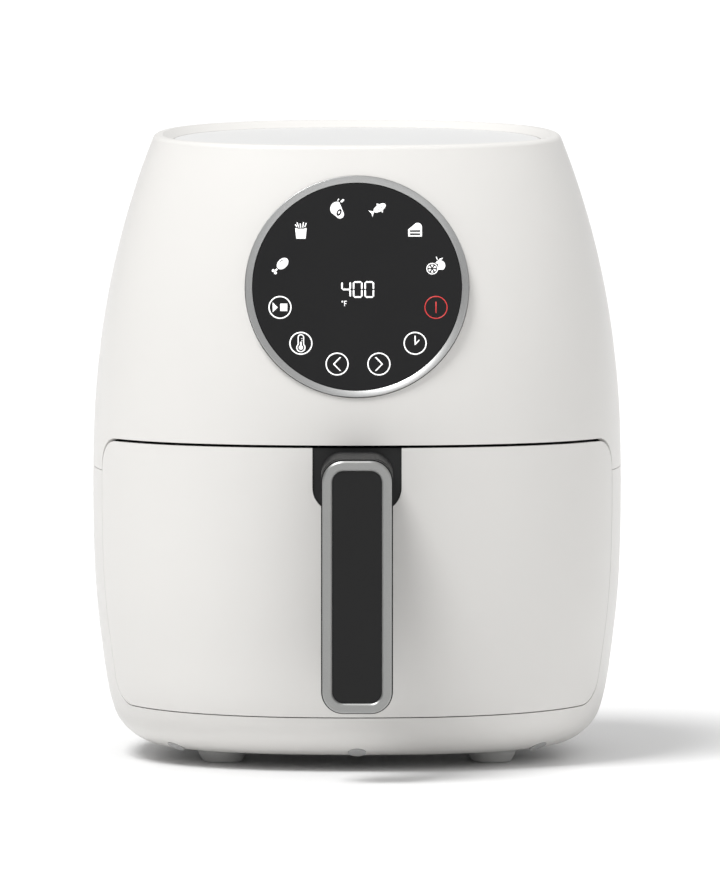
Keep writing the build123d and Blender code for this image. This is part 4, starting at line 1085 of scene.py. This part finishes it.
section_rows = floor_rows(0.0) + [wall_row(0.0, h) for h in (75, 105, 135, pan_top - SHEET - 1.0)]
section_rows += [(0.1, pan_top - SHEET - 0.3, 1.0), (-0.6, pan_top - SHEET, 1.0)]
section_rows += [(0.5 - PAN_RIM, pan_top - SHEET, 1.0)]
RIM_ROLL = 0.6
roll_turns = [math.radians(degrees) for degrees in (30, 60, 90, 120, 150, 180)]
section_rows += [
    (-PAN_RIM - RIM_ROLL * math.sin(a) + RIM_ROLL, pan_top - RIM_ROLL - RIM_ROLL * math.cos(a), 1.0)
    for a in roll_turns
]
section_rows += [(SHEET - 1.2, pan_top, 1.0), (SHEET - 0.4, pan_top - 0.3, 1.0), (SHEET + 0.05, pan_top - 1.2, 1.0)]
section_rows += [wall_row(SHEET, h) for h in (135, 105, 75)] + floor_rows(SHEET)[::-1]
print("pan section:", len(section_rows), "rows")


# %% [markdown]
# ### Wrapping the section
#
# The section is repeated side by side as a flat sheet, and the tree bends the sheet round.
# A place along the sheet becomes an angle, and a superellipse says how far out it lies.

# %% wrapping the section round the rule
def flat_section(rows, steps):
    """The section repeated along X from 0 to 1, with the closing factor of each point."""
    mesh = bpy.data.meshes.new("pan_pattern")
    points = [(step / steps, inset, height) for step in range(steps + 1) for inset, height, closing in rows]
    count = len(rows)
    faces = [
        (s * count + k, (s + 1) * count + k, (s + 1) * count + k + 1, s * count + k + 1)
        for s in range(steps)
        for k in range(count - 1)
    ]
    mesh.from_pydata(points, [], faces)
    closing = mesh.attributes.new("closing", "FLOAT", "POINT")
    closing.data.foreach_set("value", [row[2] for step in range(steps + 1) for row in rows])
    return mesh


def pan_rule(tree, size):
    flat = tree.node("GeometryNodeInputPosition")
    turn, inset, height = (flat.node("ShaderNodeSeparateXYZ", None, {"Vector": flat}, output=k) for k in range(3))
    closing = tree.node("GeometryNodeInputNamedAttribute", {"data_type": "FLOAT"}, {"Name": "closing"})
    angle = turn * (2 * math.pi)

    def reach(wave, half):
        side = wave.sum("SIGN", wave)
        softened = wave.sum("ABSOLUTE", wave) ** (2 / size["Squareness"])
        return side * softened * (half - inset) * closing

    across = reach(angle.sum("COSINE", angle), size["Half width"])
    along = reach(angle.sum("SINE", angle), size["Half length"])
    place = tree.node("ShaderNodeCombineXYZ", None, {"X": across, "Y": along, "Z": height})
    wrapped = tree.node("GeometryNodeSetPosition", None, {"Geometry": size["Geometry"], "Position": place})
    return tree.node("GeometryNodeMergeByDistance", None, {"Geometry": wrapped, "Distance": 0.001})


pan_place = Matrix.Translation((0, (pan_low.y + pan_high.y) / 2, 0)) @ Matrix.Scale(MM, 4)
pan_sizes = {"Squareness": 2.6}
pan_sizes["Half width"] = (pan_high.x - pan_low.x) / 2 / MM - PAN_RIM - 0.1
pan_sizes["Half length"] = (pan_high.y - pan_low.y) / 2 / MM - PAN_RIM - 0.1
pan_sheet = flat_section(section_rows, 144)
grown("pan_bowl", pan_sizes, pan_rule, FINISHES["nonstick_pan"], pan_place, "drawer", "pan", pan_sheet)

# %% [markdown]
# ## The floor
#
# The setting is a white sweep: one pale sheet far wider than the view. It gives off a
# little light of its own, so it stays white up to the object. That glow is held back where
# something stands close above it, which paints a soft contact shadow into the floor.

# %% the floor
FLOOR_HALF_WIDTH = 60.0
CONTACT_REACH = 0.16


def stage_floor(half_width):
    """A pale sheet under the object."""
    corners = [(x * half_width, y * half_width) for x, y in ((-1, -1), (1, -1), (1, 1), (-1, 1))]
    mesh = bpy.data.meshes.new("floor")
    mesh.from_pydata([(x, y, 0.0) for x, y in corners], [], [(0, 1, 2, 3)])
    floor = bpy.data.objects.new("floor", mesh)
    bpy.context.collection.objects.link(floor)
    finish = Finish("floor_white", Specular_IOR_Level=0.25, Emission_Strength=0.24)
    cloud = finish.noise(0.6, 2.0)
    finish.set("Base Color", finish.between(cloud, (0.7, 0.7, 0.7, 1), (0.72, 0.72, 0.72, 1)))
    finish.set("Roughness", 0.32 + cloud * 0.05)
    # painted contact shadow: the floor's own glow fades by ambient occlusion under and beside the object
    painted_contact_shade = finish.wires.node("ShaderNodeAmbientOcclusion", {"samples": 8}, {"Distance": CONTACT_REACH}, output=0)
    finish.set("Emission Color", painted_contact_shade)
    mesh.materials.append(finish.material)
    return floor


stage_floor(FLOOR_HALF_WIDTH)
print("floor", 2 * FLOOR_HALF_WIDTH, "m wide")

# %% [markdown]
# ### Light
#
# One broad soft sun stands high at the front left, as a large softbox would. The sky fills
# the shadows: it is palest at the horizon, and brighter on the right, which lifts the side
# that the sun leaves in shade.

# %% light
SKY_LEAN = 0.62
SUN_FROM = (-0.42, -0.36, 1.1)
HORIZON = (0.62, 0.62, 0.62, 1)
MID_SKY = (0.44, 0.44, 0.44, 1)
ZENITH = (0.46, 0.46, 0.46, 1)
world = bpy.data.worlds.new("studio")
world.use_nodes = True
sky = Wire(world.node_tree)
direction = sky.node("ShaderNodeTexCoord", output="Generated")
height = sky.node("ShaderNodeSeparateXYZ", None, {"Vector": direction}, output=2)
stops = [(0.0, HORIZON), (0.06, HORIZON), (0.3, MID_SKY), (1.0, ZENITH)]
glow = sky.node("ShaderNodeValToRGB", {"stops": stops}, {"Fac": height})
world.node_tree.links.new(glow.socket, world.node_tree.nodes["Background"].inputs["Color"])
sideways = sky.node("ShaderNodeSeparateXYZ", None, {"Vector": direction}, output=0)
world.node_tree.links.new((1.0 + sideways * SKY_LEAN).socket, world.node_tree.nodes["Background"].inputs["Strength"])
bpy.context.scene.world = world


def sun(name, direction, strength, softness):
    """A distant soft light shining from a direction."""
    lamp = bpy.data.lights.new(name, "SUN")
    lamp.energy = strength
    lamp.angle = math.radians(softness)
    holder = bpy.data.objects.new(name, lamp)
    holder.rotation_euler = Vector(direction).to_track_quat("Z", "Y").to_euler()
    bpy.context.collection.objects.link(holder)


sun("key", SUN_FROM, 3.4, 24.0)
bpy.context.scene.view_settings.view_transform = "Standard"
print("sun from", SUN_FROM, "and sky from", ZENITH[0], "overhead to", HORIZON[0])

# %% [markdown]
# ### The camera
#
# The camera stands about ten metres away with a long lens, five degrees above level. From
# so far the sides stay parallel, and the lid shows as a thin ellipse.

# %% camera
SENSOR_WIDTH = 36.0
CAMERA_DISTANCE = 10.5
CAMERA_RISE = math.radians(5.0)
AIM = Vector((0.0015, 0.006, 0.161))
VIEW_HEIGHT = 0.449
camera_data = bpy.data.cameras.new("camera")
camera_data.sensor_width = SENSOR_WIDTH
camera_data.lens = SENSOR_WIDTH * CAMERA_DISTANCE / VIEW_HEIGHT
camera_data.clip_end = 200.0
camera = bpy.data.objects.new("camera", camera_data)
camera.location = AIM + CAMERA_DISTANCE * Vector((0, -math.cos(CAMERA_RISE), math.sin(CAMERA_RISE)))
camera.rotation_euler = (math.pi / 2 - CAMERA_RISE, 0, 0)
bpy.context.collection.objects.link(camera)
bpy.context.scene.camera = camera
print("camera at", [round(v, 3) for v in camera.location], "lens", round(camera_data.lens))
